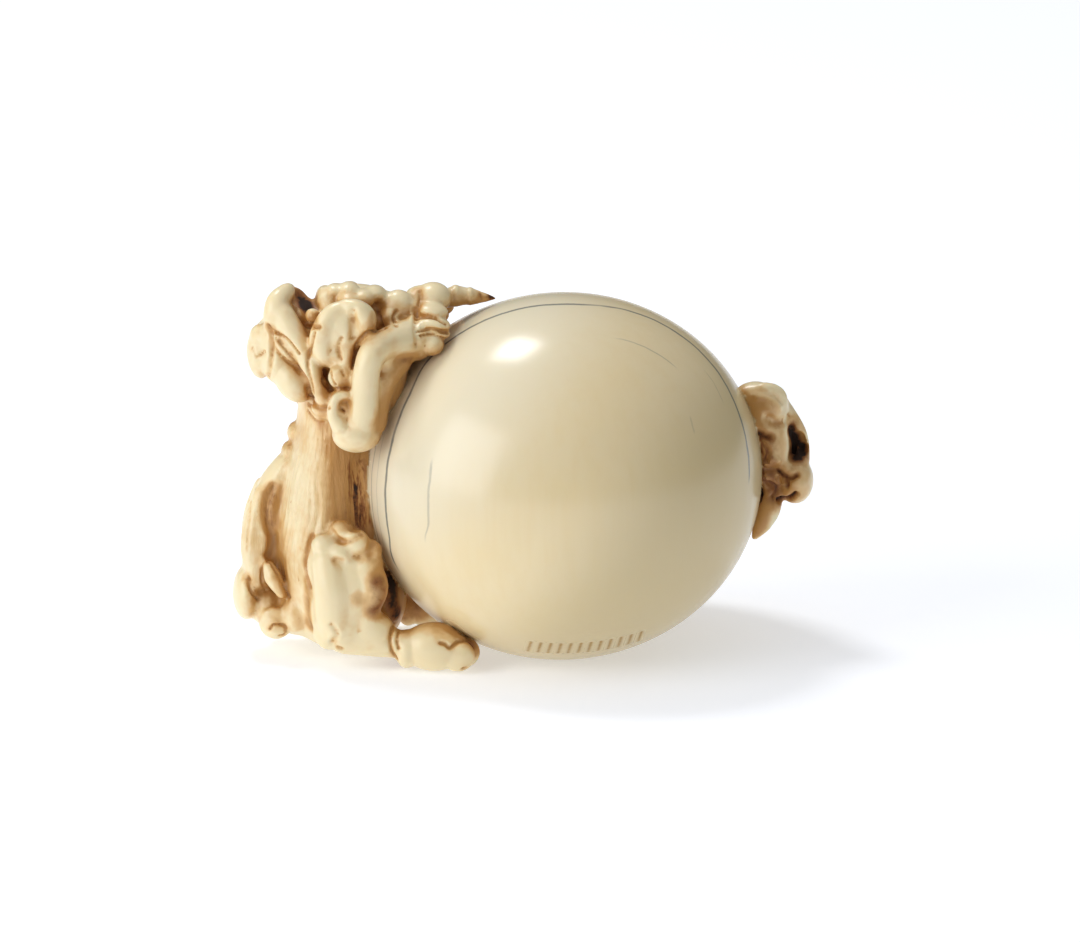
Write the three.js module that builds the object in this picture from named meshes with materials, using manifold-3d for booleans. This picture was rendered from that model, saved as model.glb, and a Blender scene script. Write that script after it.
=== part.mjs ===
// A netsuke carved from one block: a lion-dog on its hind legs grips a large polished ball from the
// left, and its cub clings to the ball's right and back. Millimetres, +Z up. The piece stands on a
// small flat under the ball and on its hind feet.

import * as THREE from 'three';
import { mergeVertices } from 'three/addons/utils/BufferGeometryUtils.js';
import Module from 'manifold-3d';

const wasm = await Module();
wasm.setup();

// Driving dimensions, with the ball's centre as the carver's reference point.
const BALL_RADII = [16, 15, 14.7];
const BALL_TURN = 4;
const FLOOR = -14.4;
const CORD_HOLE_WIDE = 2.3;
const CORD_HOLE_NARROW = 1.7;
const NEAR = -1;
const FAR = 1;
const IVORY = new THREE.MeshStandardMaterial({ color: 0xe6d3a3, roughness: 0.3, metalness: 0 });

// A closed mesh geometry as a solid that can be joined and cut.
function solid(geometry) {
  const bare = geometry.clone();
  bare.deleteAttribute('normal');
  bare.deleteAttribute('uv');
  const merged = mergeVertices(bare, 1e-5);
  const mesh = new wasm.Mesh({
    numProp: 3,
    vertProperties: new Float32Array(merged.attributes.position.array),
    triVerts: new Uint32Array(merged.index.array),
  });
  return new wasm.Manifold(mesh);
}

// A rounded lump: a sphere stretched to three radii, turned by degrees about X, Y and Z, then placed.
function lump(centre, radii, turn = [0, 0, 0], sides = 8) {
  const geometry = new THREE.SphereGeometry(1, sides, Math.round(sides * 0.6));
  geometry.rotateX(Math.PI / 2);
  geometry.scale(...radii);
  const [x, y, z] = turn.map(THREE.MathUtils.degToRad);
  geometry.applyMatrix4(new THREE.Matrix4().makeRotationFromEuler(new THREE.Euler(x, y, z)));
  geometry.translate(...centre);
  return solid(geometry);
}

// A round-ended limb: a sphere drawn out along a smooth path, with a radius for each of its points.
// wide stretches the section along the depth of the carving.
function limb(points, radii, { wide = 1, sides = 7, rings = 7, blunt = 0.6 } = {}) {
  const path = new THREE.CatmullRomCurve3(points.map((p) => new THREE.Vector3(...p)));
  const girth = new THREE.CatmullRomCurve3(radii.map((r) => new THREE.Vector3(r, 0, 0)));
  const geometry = new THREE.SphereGeometry(1, sides, rings);
  const place = geometry.attributes.position;
  const uv = geometry.attributes.uv;
  for (let i = 0; i < place.count; i += 1) {
    const t = THREE.MathUtils.clamp(uv.getY(i), 0, 1);
    const round = uv.getX(i) * 2 * Math.PI;
    const past = Math.max(0, (Math.abs(2 * t - 1) - blunt) / (1 - blunt));
    const radius = girth.getPoint(t).x * Math.sqrt(Math.max(0, 1 - past * past));
    const along = path.getTangent(t);
    const depth = new THREE.Vector3(0, 1, 0).addScaledVector(along, -along.y).normalize();
    const across = new THREE.Vector3().crossVectors(along, depth);
    const point = path.getPoint(t);
    point.addScaledVector(across, -radius * Math.cos(round));
    point.addScaledVector(depth, radius * wide * Math.sin(round));
    place.setXYZ(i, point.x, point.y, point.z);
  }
  return solid(geometry);
}

// A curled lock: a limb wound inwards about a centre, in a plane seen from the front.
function curl(centre, radius, { thick = 0.45, start = 0, turns = 1.3, wide = 1.6 } = {}) {
  const steps = 7;
  const points = [];
  const radii = [];
  for (let i = 0; i <= steps; i += 1) {
    const part = i / steps;
    const angle = THREE.MathUtils.degToRad(start) - part * turns * 2 * Math.PI;
    const reach = radius * (1 - 0.75 * part);
    const [x, y, z] = centre;
    points.push([x + reach * Math.cos(angle), y - part * 0.3, z + reach * Math.sin(angle)]);
    radii.push(radius * thick * (1.1 - 0.4 * part));
  }
  return limb(points, radii, { wide, sides: 5, rings: 9 });
}

function join(pieces) {
  return pieces.reduce((whole, piece) => whole.add(piece));
}

function ball() {
  return lump([0, 0, 0], BALL_RADII, [0, -BALL_TURN, 0], 31);
}

// Two round holes joined by a curved tunnel in the ball's back, for the cord.
function cordTunnel() {
  const path = [[-8.2, 17, 2.2], [-6.2, 11.8, 2.6], [-2.4, 9.8, 3.1], [1.2, 12, 3.5], [2.6, 18, 3.7]];
  const wide = CORD_HOLE_WIDE;
  const narrow = CORD_HOLE_NARROW;
  return limb(path, [wide, wide, (wide + narrow) / 2, narrow, narrow], { sides: 10, rings: 10, blunt: 0.9 });
}

function torso() {
  const spine = [[-20.9, 0, 5.1], [-21.3, 0, 2.9], [-22.3, 0, 0.6]];
  return join([
    limb([[-18.4, 0, 9], [-18.6, 0, 3], [-19, 0, -4], [-18.8, 0, -12.4]], [3.3, 3.4, 4.2, 4],
      { wide: 1.4, sides: 10, rings: 7, blunt: 0.75 }),
    lump([-16, 0, -4], [3, 5.4, 7.5]),
    ...spine.map((place) => lump(place, [0.9, 1.4, 1.2], [0, 0, 0], 6)),
  ]);
}

// The thrown-back head without its paired features.
function skull() {
  return join([
    lump([-20.2, 0, 10.6], [4, 4.7, 4.2], [0, 0, 0], 10),
    lump([-21.8, 0, 13.5], [2.2, 3.8, 2.6], [0, 12, 0], 10),
    lump([-23.6, 0, 10.3], [1.6, 3.2, 2.5], [0, -8, 0]),
    lump([-16.6, 0, 10.2], [4.4, 5.6, 4.2], [0, 0, 0], 10),
    limb([[-19.2, 0, 14.7], [-16.8, 0, 14.8], [-14.4, 0, 14], [-12.6, 0, 12.4]], [1, 1.3, 1.5, 1.5],
      { wide: 2 }),
    lump([-18.4, 0, 12.4], [1.8, 3.2, 2]),
  ]);
}

// Cheek, eye, jowl, ear, mane lock and curl on one side of the head.
function halfFace(side) {
  const at = (x, y, z) => [x, y * side, z];
  return join([
    lump(at(-21.5, 2.9, 12.8), [1.7, 1.8, 2.4], [0, 20, 0]),
    lump(at(-22.2, 3.7, 11.6), [2, 0.9, 0.9], [0, 50, 0]),
    lump(at(-20.8, 2.7, 8.3), [1.9, 2.4, 2.5]),
    lump(at(-17.2, 5.3, 12.6), [2.5, 1.3, 2.7]),
    lump(at(-17.7, 5.9, 9.9), [1.2, 1.2, 1.2], [0, 0, 0], 7),
    limb([at(-19.2, 4.4, 12.6), at(-19.3, 5, 9.4), at(-18, 4.8, 6)], [0.9, 1.1, 0.9], { sides: 6, rings: 6 }),
    lump(at(-17.4, 2.4, 14.8), [1, 1.4, 0.9], [0, 0, 0], 6),
    lump(at(-15.2, 2.6, 14.3), [1.1, 1.5, 1], [0, 0, 0], 6),
  ]);
}

function mouthAndEars() {
  return join([
    lump([-20, 0, 14.9], [1.1, 6.5, 1.5], [0, 25, 0]),
    lump([-17.3, -6.8, 12.8], [1.3, 1, 1.7]),
    lump([-17.3, 6.8, 12.8], [1.3, 1, 1.7]),
  ]);
}

// The foreleg that shows: elbow low, forearm upright, four toes stacked against the ball.
function nearForeleg() {
  const toes = [];
  for (let i = 0; i < 4; i += 1) {
    toes.push(lump([-10.2, -5.8 + i * 0.5, 11.1 + i * 1.03], [1.5, 1.4, 0.8], [0, 0, 0], 6));
  }
  return join([
    limb([[-16.2, -4.2, 11], [-16.6, -6.6, 7.4], [-16, -7.4, 4]], [2.1, 2.3, 2.2], { rings: 7 }),
    limb([[-16.4, -7.6, 3.4], [-15.7, -8, 7.4], [-15.1, -7.7, 11.3], [-13, -6.4, 12.6], [-9.6, -4.6, 12.7]],
      [2.1, 1.5, 1.4, 1.7, 1.9], { rings: 9, blunt: 0.8 }),
    curl([-17.7, -7.8, 6.7], 1.3, { thick: 0.5, start: 250, turns: 0.8, wide: 1.3 }),
    lump([-13.9, -6, 10], [1.6, 2, 3.2], [0, 15, 0]),
    ...toes,
  ]);
}

// The foreleg behind: its paw lies over the ball's crown, one long claw pointing right.
function farForeleg() {
  return join([
    limb([[-16.4, 4.4, 9.4], [-16.8, 7, 5.8], [-15.8, 7.8, 8.6], [-14.6, 6.4, 12], [-12, 3.2, 13.4]],
      [2.2, 2.1, 1.6, 1.5, 1.7], { rings: 9, blunt: 0.75 }),
    lump([-13.2, -1.2, 13.3], [1.5, 2.1, 1.6]),
    lump([-10.8, 0.6, 13.5], [1.9, 2.4, 1.9]),
    lump([-10.2, 3.6, 13], [1.9, 1.6, 1.5]),
    limb([[-10.2, 2, 14.1], [-7.6, 2.3, 14.2], [-5.2, 2.6, 13.9]], [0.9, 0.8, 0.4], { sides: 6, rings: 5 }),
  ]);
}

// Haunch, thigh, heel and foot; the leg that shows also has flame locks on the hip.
function hindLeg(side, footReach) {
  const at = (x, y, z) => [x, y * side, z];
  const toes = [-1, 0, 1].map((i) => (
    lump(at(-7.9 + footReach + 0.3 * Math.abs(i), 6.2 + i * 1.2, -12.7), [1.4, 0.9, 1.6], [0, 0, 0], 7)
  ));
  const locks = side === NEAR ? [-1, 0, 1].map((i) => (
    lump(at(-16.8 + i * 1.6, 7.5 - 0.3 * Math.abs(i), -3.9 - 0.7 * Math.abs(i)), [1.2, 1, 1.3], [0, 0, 0], 7)
  )) : [];
  return join([
    lump(at(-17.7, 5.2, -6.8), [3.6, 3, 3.6], [0, 0, 0], 10),
    lump(at(-18, 5.5, -9.9), [3.2, 2.8, 3.5], [0, 0, 0], 10),
    limb([at(-19.4, 5.4, -11.4), at(-15.4, 5.9, -11.8), at(-9.6, 6.3, -12.2)], [2, 1.8, 1.9], { blunt: 0.75 }),
    lump(at(-10.3 + footReach, 6.3, -12.4), [3.3, 2.3, 2.3], [0, 6, 0], 10),
    lump(at(-18.7, 5.2, -12.3), [1.6, 1.8, 1.2]),
    ...locks,
    ...toes,
  ]);
}

// The bushy tail laid down the back, ending in a leaf lock and snail curls.
function tail() {
  const locks = [NEAR, FAR].flatMap((side) => [
    limb([[-23.3, 2.6 * side, -5.8], [-23, 3.4 * side, -8], [-22.2, 3.6 * side, -9.8]], [0.7, 1, 0.7],
      { sides: 6, rings: 5 }),
    lump([-22.6, 2.6 * side, -11.6], [1.7, 1.5, 1.7]),
  ]);
  return join([
    limb([[-21.6, 0, 2], [-23, 0, -2.2], [-24, 0, -6], [-24, 0, -10]], [1.3, 1.9, 2, 1.7],
      { wide: 1.9, sides: 10, blunt: 0.75 }),
    lump([-24.9, 0, -9.6], [1.6, 3.4, 2.4]),
    lump([-21, 0, -10.6], [2.8, 4.2, 2.6]),
    ...locks,
  ]);
}

// The cub: head at the ball's right, body and hind foot wrapped round its back.
function cub() {
  return join([
    lump([15.8, 3.8, 1.1], [3, 4, 4.8], [0, 0, 0], 10),
    lump([16.2, 2.7, 5.2], [2.2, 2.2, 1.9], [0, 0, 0], 10),
    limb([[17.3, 2.4, 6], [17.9, 2.2, 3.4], [17.7, 2.1, 0.6]], [0.8, 0.9, 0.8], { sides: 6, rings: 6 }),
    limb([[17.4, 3.4, 6], [18.7, 3.4, 4], [19.1, 3.3, 2], [18.9, 3, 0]], [0.7, 0.6, 0.6, 0.8], { wide: 2, sides: 7, rings: 6 }),
    lump([18.6, 2.6, -1], [1.7, 2.6, 2], [0, 0, 0], 10),
    lump([17.3, 1.9, 0], [1.7, 2, 2.4]),
    limb([[17, 1.7, -0.8], [16.7, 1.2, -3.4], [15.7, 0.6, -5.4]], [1.1, 1.1, 0.6], { sides: 6, rings: 6 }),
    limb([[15.6, 5, 1.4], [12, 10.8, -0.6], [7.4, 14, -3.8], [5.4, 13.6, -8.4]], [3, 3, 3.2, 3],
      { sides: 9, rings: 8 }),
    limb([[13.6, 8, 1.6], [10.8, 11.2, 5.2], [6.8, 12.4, 7]], [1.7, 1.5, 1.4]),
    limb([[5.6, 13.8, -6.6], [6.6, 12, -11], [3.4, 10, -12.9]], [2.5, 2.1, 1.7]),
    lump([9.6, 14.2, -5.6], [1.8, 1.7, 2.2], [0, 0, 0], 7),
    curl([4.4, 16.2, -2.4], 1.3, { thick: 0.5, start: 200 }),
  ]);
}

function cubMouth() {
  return lump([18.9, 1.2, 2.6], [0.75, 2.2, 1.2], [0, 0, 0], 10);
}

// Everything below the standing plane is cut away, which leaves flats under the ball and the feet.
function groundCut() {
  const slab = new THREE.BoxGeometry(80, 80, 10);
  slab.translate(0, 0, FLOOR - 5);
  return solid(slab);
}

// Chips that fall away where two lumps only graze each other are left out.
function carving() {
  const pieces = join([
    ball(), torso(), skull(), halfFace(NEAR), halfFace(FAR), nearForeleg(), farForeleg(),
    hindLeg(NEAR, 0), hindLeg(FAR, 0.8), tail(), cub(),
  ]);
  const cuts = join([mouthAndEars(), cubMouth(), cordTunnel(), groundCut()]);
  const bodies = pieces.subtract(cuts).decompose();
  return bodies.reduce((block, chip) => (chip.volume() > block.volume() ? chip : block));
}

// The solid as a named mesh whose box is centred on the origin and stands on it.
function netsuke() {
  const mesh = carving().getMesh();
  const geometry = new THREE.BufferGeometry();
  geometry.setAttribute('position', new THREE.BufferAttribute(mesh.vertProperties, 3));
  geometry.setIndex(new THREE.BufferAttribute(mesh.triVerts, 1));
  geometry.computeBoundingBox();
  const { min, max } = geometry.boundingBox;
  const piece = new THREE.Mesh(geometry, IVORY);
  piece.name = 'netsuke';
  piece.position.set(-(min.x + max.x) / 2, -(min.y + max.y) / 2, -min.z);
  return piece;
}

const part = new THREE.Group();
part.add(netsuke());

export default part;
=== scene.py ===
"""Looks of an old ivory netsuke: a lion-dog grips a large polished ball, with its cub behind it.

The figures are built up from lumps and limbs, fused into one skin, and then cut with fine lines, as a
carver would. Everything is worked in millimetres about the ball's centre, and set down in the frame last.
"""

import logging
import math
from dataclasses import dataclass, field
from enum import Enum

import bpy
import numpy as np
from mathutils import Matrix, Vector, noise
from mathutils.bvhtree import BVHTree


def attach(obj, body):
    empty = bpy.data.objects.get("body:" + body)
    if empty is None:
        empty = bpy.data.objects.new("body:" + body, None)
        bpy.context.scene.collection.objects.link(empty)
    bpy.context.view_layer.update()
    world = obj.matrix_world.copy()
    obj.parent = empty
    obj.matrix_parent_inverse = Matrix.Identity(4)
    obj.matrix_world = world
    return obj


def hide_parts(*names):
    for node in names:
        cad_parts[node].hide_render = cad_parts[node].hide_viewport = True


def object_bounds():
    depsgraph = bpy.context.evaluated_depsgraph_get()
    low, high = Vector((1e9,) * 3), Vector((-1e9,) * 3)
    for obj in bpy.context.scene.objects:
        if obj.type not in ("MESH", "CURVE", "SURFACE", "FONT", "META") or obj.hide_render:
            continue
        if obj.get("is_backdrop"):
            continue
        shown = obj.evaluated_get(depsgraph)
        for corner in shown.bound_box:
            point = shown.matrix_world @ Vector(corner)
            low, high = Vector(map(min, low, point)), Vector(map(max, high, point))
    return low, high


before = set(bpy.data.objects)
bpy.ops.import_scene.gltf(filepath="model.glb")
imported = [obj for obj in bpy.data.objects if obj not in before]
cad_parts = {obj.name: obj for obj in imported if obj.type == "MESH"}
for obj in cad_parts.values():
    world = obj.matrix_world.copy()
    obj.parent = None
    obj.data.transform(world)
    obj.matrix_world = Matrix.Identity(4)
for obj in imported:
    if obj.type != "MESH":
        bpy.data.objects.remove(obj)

log = logging.getLogger("netsuke")

Vec = tuple[float, float, float]
Spot = tuple[float, float]

MM = 0.001
VIEW_RISE = math.radians(15)
NEAR, FAR = -1, 1
HEAD_HEIGHT = 11.5
HEAD_ROLL = 14.0


class Side(Enum):
    """Which face of the carving a line is cut on."""

    FRONT = -1
    BACK = 1


def srgb(code: str) -> tuple[float, float, float, float]:
    """Turns an sRGB hex colour to the linear values that shaders take.

    Args:
        code: six hex digits with a leading #.

    Returns:
        Linear red, green, blue and an alpha of 1.
    """
    parts = [int(code[i:i + 2], 16) / 255 for i in (1, 3, 5)]
    linear = [c / 12.92 if c <= 0.04045 else ((c + 0.055) / 1.055) ** 2.4 for c in parts]
    return (*linear, 1.0)


def seen(u: float, v: float, y: float) -> Vec:
    """Finds the place that shows at a spot of the front sheet and lies at a given depth.

    Args:
        u: millimetres right of the ball's centre, as the front is seen.
        v: millimetres above it, as seen from 15 degrees above.
        y: the depth, negative towards the front.

    Returns:
        The place about the ball's centre.
    """
    return (u, y, (v - y * math.sin(VIEW_RISE)) / math.cos(VIEW_RISE))


def across(place: Vec, roll: float = 0.0) -> Vec:
    """Mirrors a place to the far side of an animal.

    Args:
        place: the place on the near side.
        roll: how far the animal is rolled away from the front, in degrees. It turns about a line
            through the middle of the head.

    Returns:
        The place on the far side.
    """
    x, y, z = place
    if not roll:
        return (x, -y, z)
    height = z - HEAD_HEIGHT
    lean = math.radians(2 * roll)
    return (x, -y * math.cos(lean) + height * math.sin(lean),
            HEAD_HEIGHT + y * math.sin(lean) + height * math.cos(lean))


# ---------------------------------------------------------------- the carver's bench


def deselect() -> None:
    """Leaves nothing selected, so an operator acts only on what comes next."""
    bpy.ops.object.select_all(action="DESELECT")


def pick(*pieces: bpy.types.Object) -> None:
    """Selects the pieces alone and makes the first one active."""
    deselect()
    for piece in pieces:
        piece.select_set(True)
    bpy.context.view_layer.objects.active = pieces[0]


def apply_modifier(piece: bpy.types.Object, kind: str, **settings: object) -> None:
    """Adds a modifier, sets it and applies it.

    Args:
        piece: the object to change.
        kind: the modifier's type name.
        settings: its properties.
    """
    pick(piece)
    modifier = piece.modifiers.new(kind.lower(), kind)
    for name, value in settings.items():
        setattr(modifier, name, value)
    bpy.ops.object.modifier_apply(modifier=modifier.name)


class Bench:
    """Collects rounded lumps and limbs, then fuses them into one skin."""

    def __init__(self) -> None:
        """Starts with an empty bench."""
        self.made: list[bpy.types.Object] = []

    def lump(self, centre: Vec, radii: Vec | float, turn: Vec = (0, 0, 0), fine: int = 3) -> None:
        """Adds a ball stretched to three radii.

        Args:
            centre: its middle.
            radii: its half sizes, or one radius.
            turn: degrees about X, Y and Z.
            fine: how often its faces are divided.
        """
        size = radii if isinstance(radii, tuple) else (radii,) * 3
        bpy.ops.mesh.primitive_ico_sphere_add(
            subdivisions=fine, radius=1, location=centre, scale=size,
            rotation=[math.radians(a) for a in turn])
        self.made.append(bpy.context.object)

    def limb(self, points: list[Vec], radii: list[float], deep: float = 1.0) -> None:
        """Adds a round-ended limb along a smooth path.

        Args:
            points: what the path goes through.
            radii: the limb's radius at each point.
            deep: how far its section is stretched front to back.
        """
        middle = sum(p[1] for p in points) / len(points)
        bpy.ops.curve.primitive_bezier_curve_add(location=(0, 0, 0))
        piece = bpy.context.object
        curve = piece.data
        curve.bevel_depth = 1
        curve.bevel_resolution = 5
        curve.resolution_u = 5
        curve.use_fill_caps = True
        knots = curve.splines[0].bezier_points
        knots.add(len(points) - len(knots))
        for knot, place, radius in zip(knots, points, radii):
            knot.handle_left_type = knot.handle_right_type = "AUTO"
            knot.co = (place[0], middle + (place[1] - middle) / deep, place[2])
            knot.radius = radius
        piece.scale = (1, deep, 1)
        piece.location = (0, middle * (1 - deep), 0)
        self.made.append(piece)
        for end in (0, -1):
            radius = radii[end]
            self.lump(points[end], (radius, radius * deep, radius), fine=2)

    def both(self, centre: Vec, radii: Vec | float, turn: Vec = (0, 0, 0), roll: float = 0.0) -> None:
        """Adds a lump and its mirror on the other side of the animal.

        Args:
            centre: middle of the near lump.
            radii: its half sizes, or one radius.
            turn: its degrees about X, Y and Z.
            roll: how far the animal's middle is rolled away from the front, in degrees.
        """
        self.lump(centre, radii, turn)
        self.lump(across(centre, roll), radii, (-turn[0], turn[1], -turn[2]))

    def both_limb(self, points: list[Vec], radii: list[float], roll: float = 0.0) -> None:
        """Adds a limb and its mirror on the other side of the animal."""
        self.limb(points, radii)
        self.limb([across(place, roll) for place in points], radii)

    def curl(self, centre: Vec, size: float, start: float = 0, turns: float = 1.4, hand: int = 1,
             facing: Vec = (0, -1, 0), thick: float = 0.34) -> None:
        """Adds a snail curl: a lock of hair wound inwards, its middle standing proud.

        Args:
            centre: middle of the curl.
            size: its outer radius.
            start: the angle of its open end, in degrees.
            turns: how many times it winds.
            hand: 1 winds it clockwise and -1 anticlockwise.
            facing: the way its face looks.
            thick: the lock's radius at its open end, as a share of size.
        """
        out = Vector(facing).normalized()
        right = Vector((0, 0, 1)).cross(out)
        right = right.normalized() if right.length > 0.1 else Vector((1, 0, 0))
        up = out.cross(right)
        steps = 12
        points, radii = [], []
        for i in range(steps + 1):
            part = i / steps
            angle = math.radians(start) - hand * part * turns * 2 * math.pi
            reach = size * (1 - thick) * (1 - part) ** 0.8
            place = Vector(centre) + reach * (math.cos(angle) * right + math.sin(angle) * up)
            points.append(tuple(place + out * size * 0.35 * part))
            radii.append(size * thick * (1 - 0.35 * part))
        self.limb(points, radii)

    def fuse(self, voxel: float, smooth: int = 0) -> bpy.types.Object:
        """Joins everything on the bench into one closed skin.

        Args:
            voxel: the skin's mesh size.
            smooth: rounds of smoothing that melt the lumps together.

        Returns:
            The fused piece. The bench is left empty.
        """
        pick(*self.made)
        bpy.ops.object.convert(target="MESH")
        bpy.ops.object.join()
        bpy.ops.object.transform_apply(location=True, rotation=True, scale=True)
        piece = bpy.context.object
        self.made = []
        apply_modifier(piece, "REMESH", mode="VOXEL", voxel_size=voxel)
        if smooth:
            apply_modifier(piece, "SMOOTH", factor=0.5, iterations=smooth)
        return piece

    def take(self, piece: bpy.types.Object) -> None:
        """Puts a finished piece back on the bench to be built on."""
        self.made.append(piece)


def combine(piece: bpy.types.Object, other: bpy.types.Object, action: str) -> None:
    """Joins or cuts two closed pieces and removes the second.

    Args:
        piece: the one that is kept.
        other: the one that is joined to it or cut out of it.
        action: UNION or DIFFERENCE.
    """
    apply_modifier(piece, "BOOLEAN", object=other, operation=action, solver="MANIFOLD")
    bpy.data.objects.remove(other)


def drop_crumbs(piece: bpy.types.Object) -> bpy.types.Object:
    """Removes the tiny closed skins that cutting and joining can leave beside or inside a piece.

    Args:
        piece: the piece.

    Returns:
        The largest connected skin.
    """
    pick(piece)
    bpy.ops.object.mode_set(mode="EDIT")
    bpy.ops.mesh.select_all(action="SELECT")
    bpy.ops.mesh.separate(type="LOOSE")
    bpy.ops.object.mode_set(mode="OBJECT")
    parts = sorted(bpy.context.selected_objects, key=lambda part: len(part.data.polygons))
    for crumb in parts[:-1]:
        log.info("dropped a loose skin of %d faces", len(crumb.data.polygons))
        bpy.data.objects.remove(crumb)
    return parts[-1]


# ---------------------------------------------------------------- cutting lines


@dataclass(frozen=True)
class Mark:
    """A line, ridge or pit on the skin.

    Lines are given on the front sheet: millimetres right of and above the ball's centre, as the front
    is seen from 15 degrees above.
    """

    path: tuple[Spot, ...]
    width: float = 0.3
    depth: float = 0.2
    stain: float = 0.5
    mirrored: bool = True


def smooth_path(path: tuple[Spot, ...], step: float = 0.12) -> list[Spot]:
    """Runs a smooth curve through a few spots.

    Args:
        path: the spots.
        step: the spacing of what is returned.

    Returns:
        Closely spaced spots on the curve.
    """
    if len(path) < 2:
        return list(path)
    knots = [Vector(p) for p in path]
    knots = [2 * knots[0] - knots[1], *knots, 2 * knots[-1] - knots[-2]]
    spots = []
    for a, b, c, d in zip(knots, knots[1:], knots[2:], knots[3:]):
        count = max(1, round((c - b).length / step))
        for i in range(count):
            t = i / count
            spots.append(tuple(0.5 * (2 * b + (c - a) * t + (2 * a - 5 * b + 4 * c - d) * t * t
                                      + (3 * b - a - 3 * c + d) * t ** 3)))
    spots.append(tuple(knots[-2]))
    return spots


class Chisel:
    """Cuts marks into a skin by moving its points, and remembers them for the staining."""

    def __init__(self, piece: bpy.types.Object) -> None:
        """Reads the skin.

        Args:
            piece: the mesh object to work on.
        """
        self.piece = piece
        count = len(piece.data.vertices)
        self.points = np.empty(count * 3)
        piece.data.vertices.foreach_get("co", self.points)
        self.points = self.points.reshape(-1, 3)
        self.normals = np.empty(count * 3)
        piece.data.vertex_normals.foreach_get("vector", self.normals)
        self.normals = self.normals.reshape(-1, 3)
        self.moved = np.zeros(count)
        polygons = [tuple(p.vertices) for p in piece.data.polygons]
        self.tree = BVHTree.FromPolygons([tuple(p) for p in self.points], polygons)

    def trace(self, mark: Mark, side: Side) -> list[Vec]:
        """Lays a mark's line on the skin.

        Args:
            mark: the mark.
            side: FRONT casts it along the view, BACK mirrors it through the ball's middle plane.

        Returns:
            The line's places on the skin.
        """
        along = Vector((0, math.cos(VIEW_RISE), -math.sin(VIEW_RISE)))
        rise = Vector((0, math.sin(VIEW_RISE), math.cos(VIEW_RISE)))
        traced = []
        for u, v in smooth_path(mark.path):
            start = Vector((u, 0, 0)) + rise * v - along * 60
            hit = self.tree.ray_cast(start, along)[0]
            if hit is None:
                continue
            if side is Side.BACK:
                roll = HEAD_ROLL if hit.z > 6 else 0.0
                hit = self.tree.find_nearest(Vector(across(tuple(hit), roll)))[0]
            traced.append(tuple(hit))
        return traced

    def cut(self, line: list[Vec], width: float, depth: float) -> None:
        """Pushes the skin in along a line, or out where depth is negative."""
        share = nearness(self.points, line, width)
        self.moved = np.where(np.abs(share * depth) > np.abs(self.moved), share * depth, self.moved)

    def bed(self, line: list[Vec], depth: float) -> list[Vec]:
        """Lowers a line laid on the skin to the bottom of its cut."""
        low = []
        for place in line:
            normal = self.tree.find_nearest(Vector(place))[1]
            low.append(tuple(Vector(place) - normal * depth))
        return low

    def finish(self) -> None:
        """Moves the points by all that was cut."""
        moved = self.points - self.normals * self.moved[:, None]
        self.piece.data.vertices.foreach_set("co", moved.ravel())
        self.piece.data.update()


def nearness(points: np.ndarray, line: list[Vec], width: float) -> np.ndarray:
    """Says how close points are to a line, from 0 at width away to 1 on it.

    Args:
        points: rows of places.
        line: closely spaced places along the line.
        width: the distance at which the share is 0.

    Returns:
        One smooth share for each point.
    """
    share = np.zeros(len(points))
    if not line:
        return share
    spots = np.array(line)
    low, high = spots.min(0) - width, spots.max(0) + width
    inside = np.flatnonzero(np.all((points > low) & (points < high), axis=1))
    for start in range(0, len(inside), 4000):
        rows = inside[start:start + 4000]
        gap = np.linalg.norm(points[rows, None] - spots[None], axis=2).min(1)
        part = np.clip(1 - gap / width, 0, 1)
        share[rows] = part * part * (3 - 2 * part)
    return share


def line(width: float, depth: float, stain: float, *path: Spot) -> Mark:
    """Names a carved line's size before its path, for the lists below."""
    return Mark(tuple(path), width, depth, stain)


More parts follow.
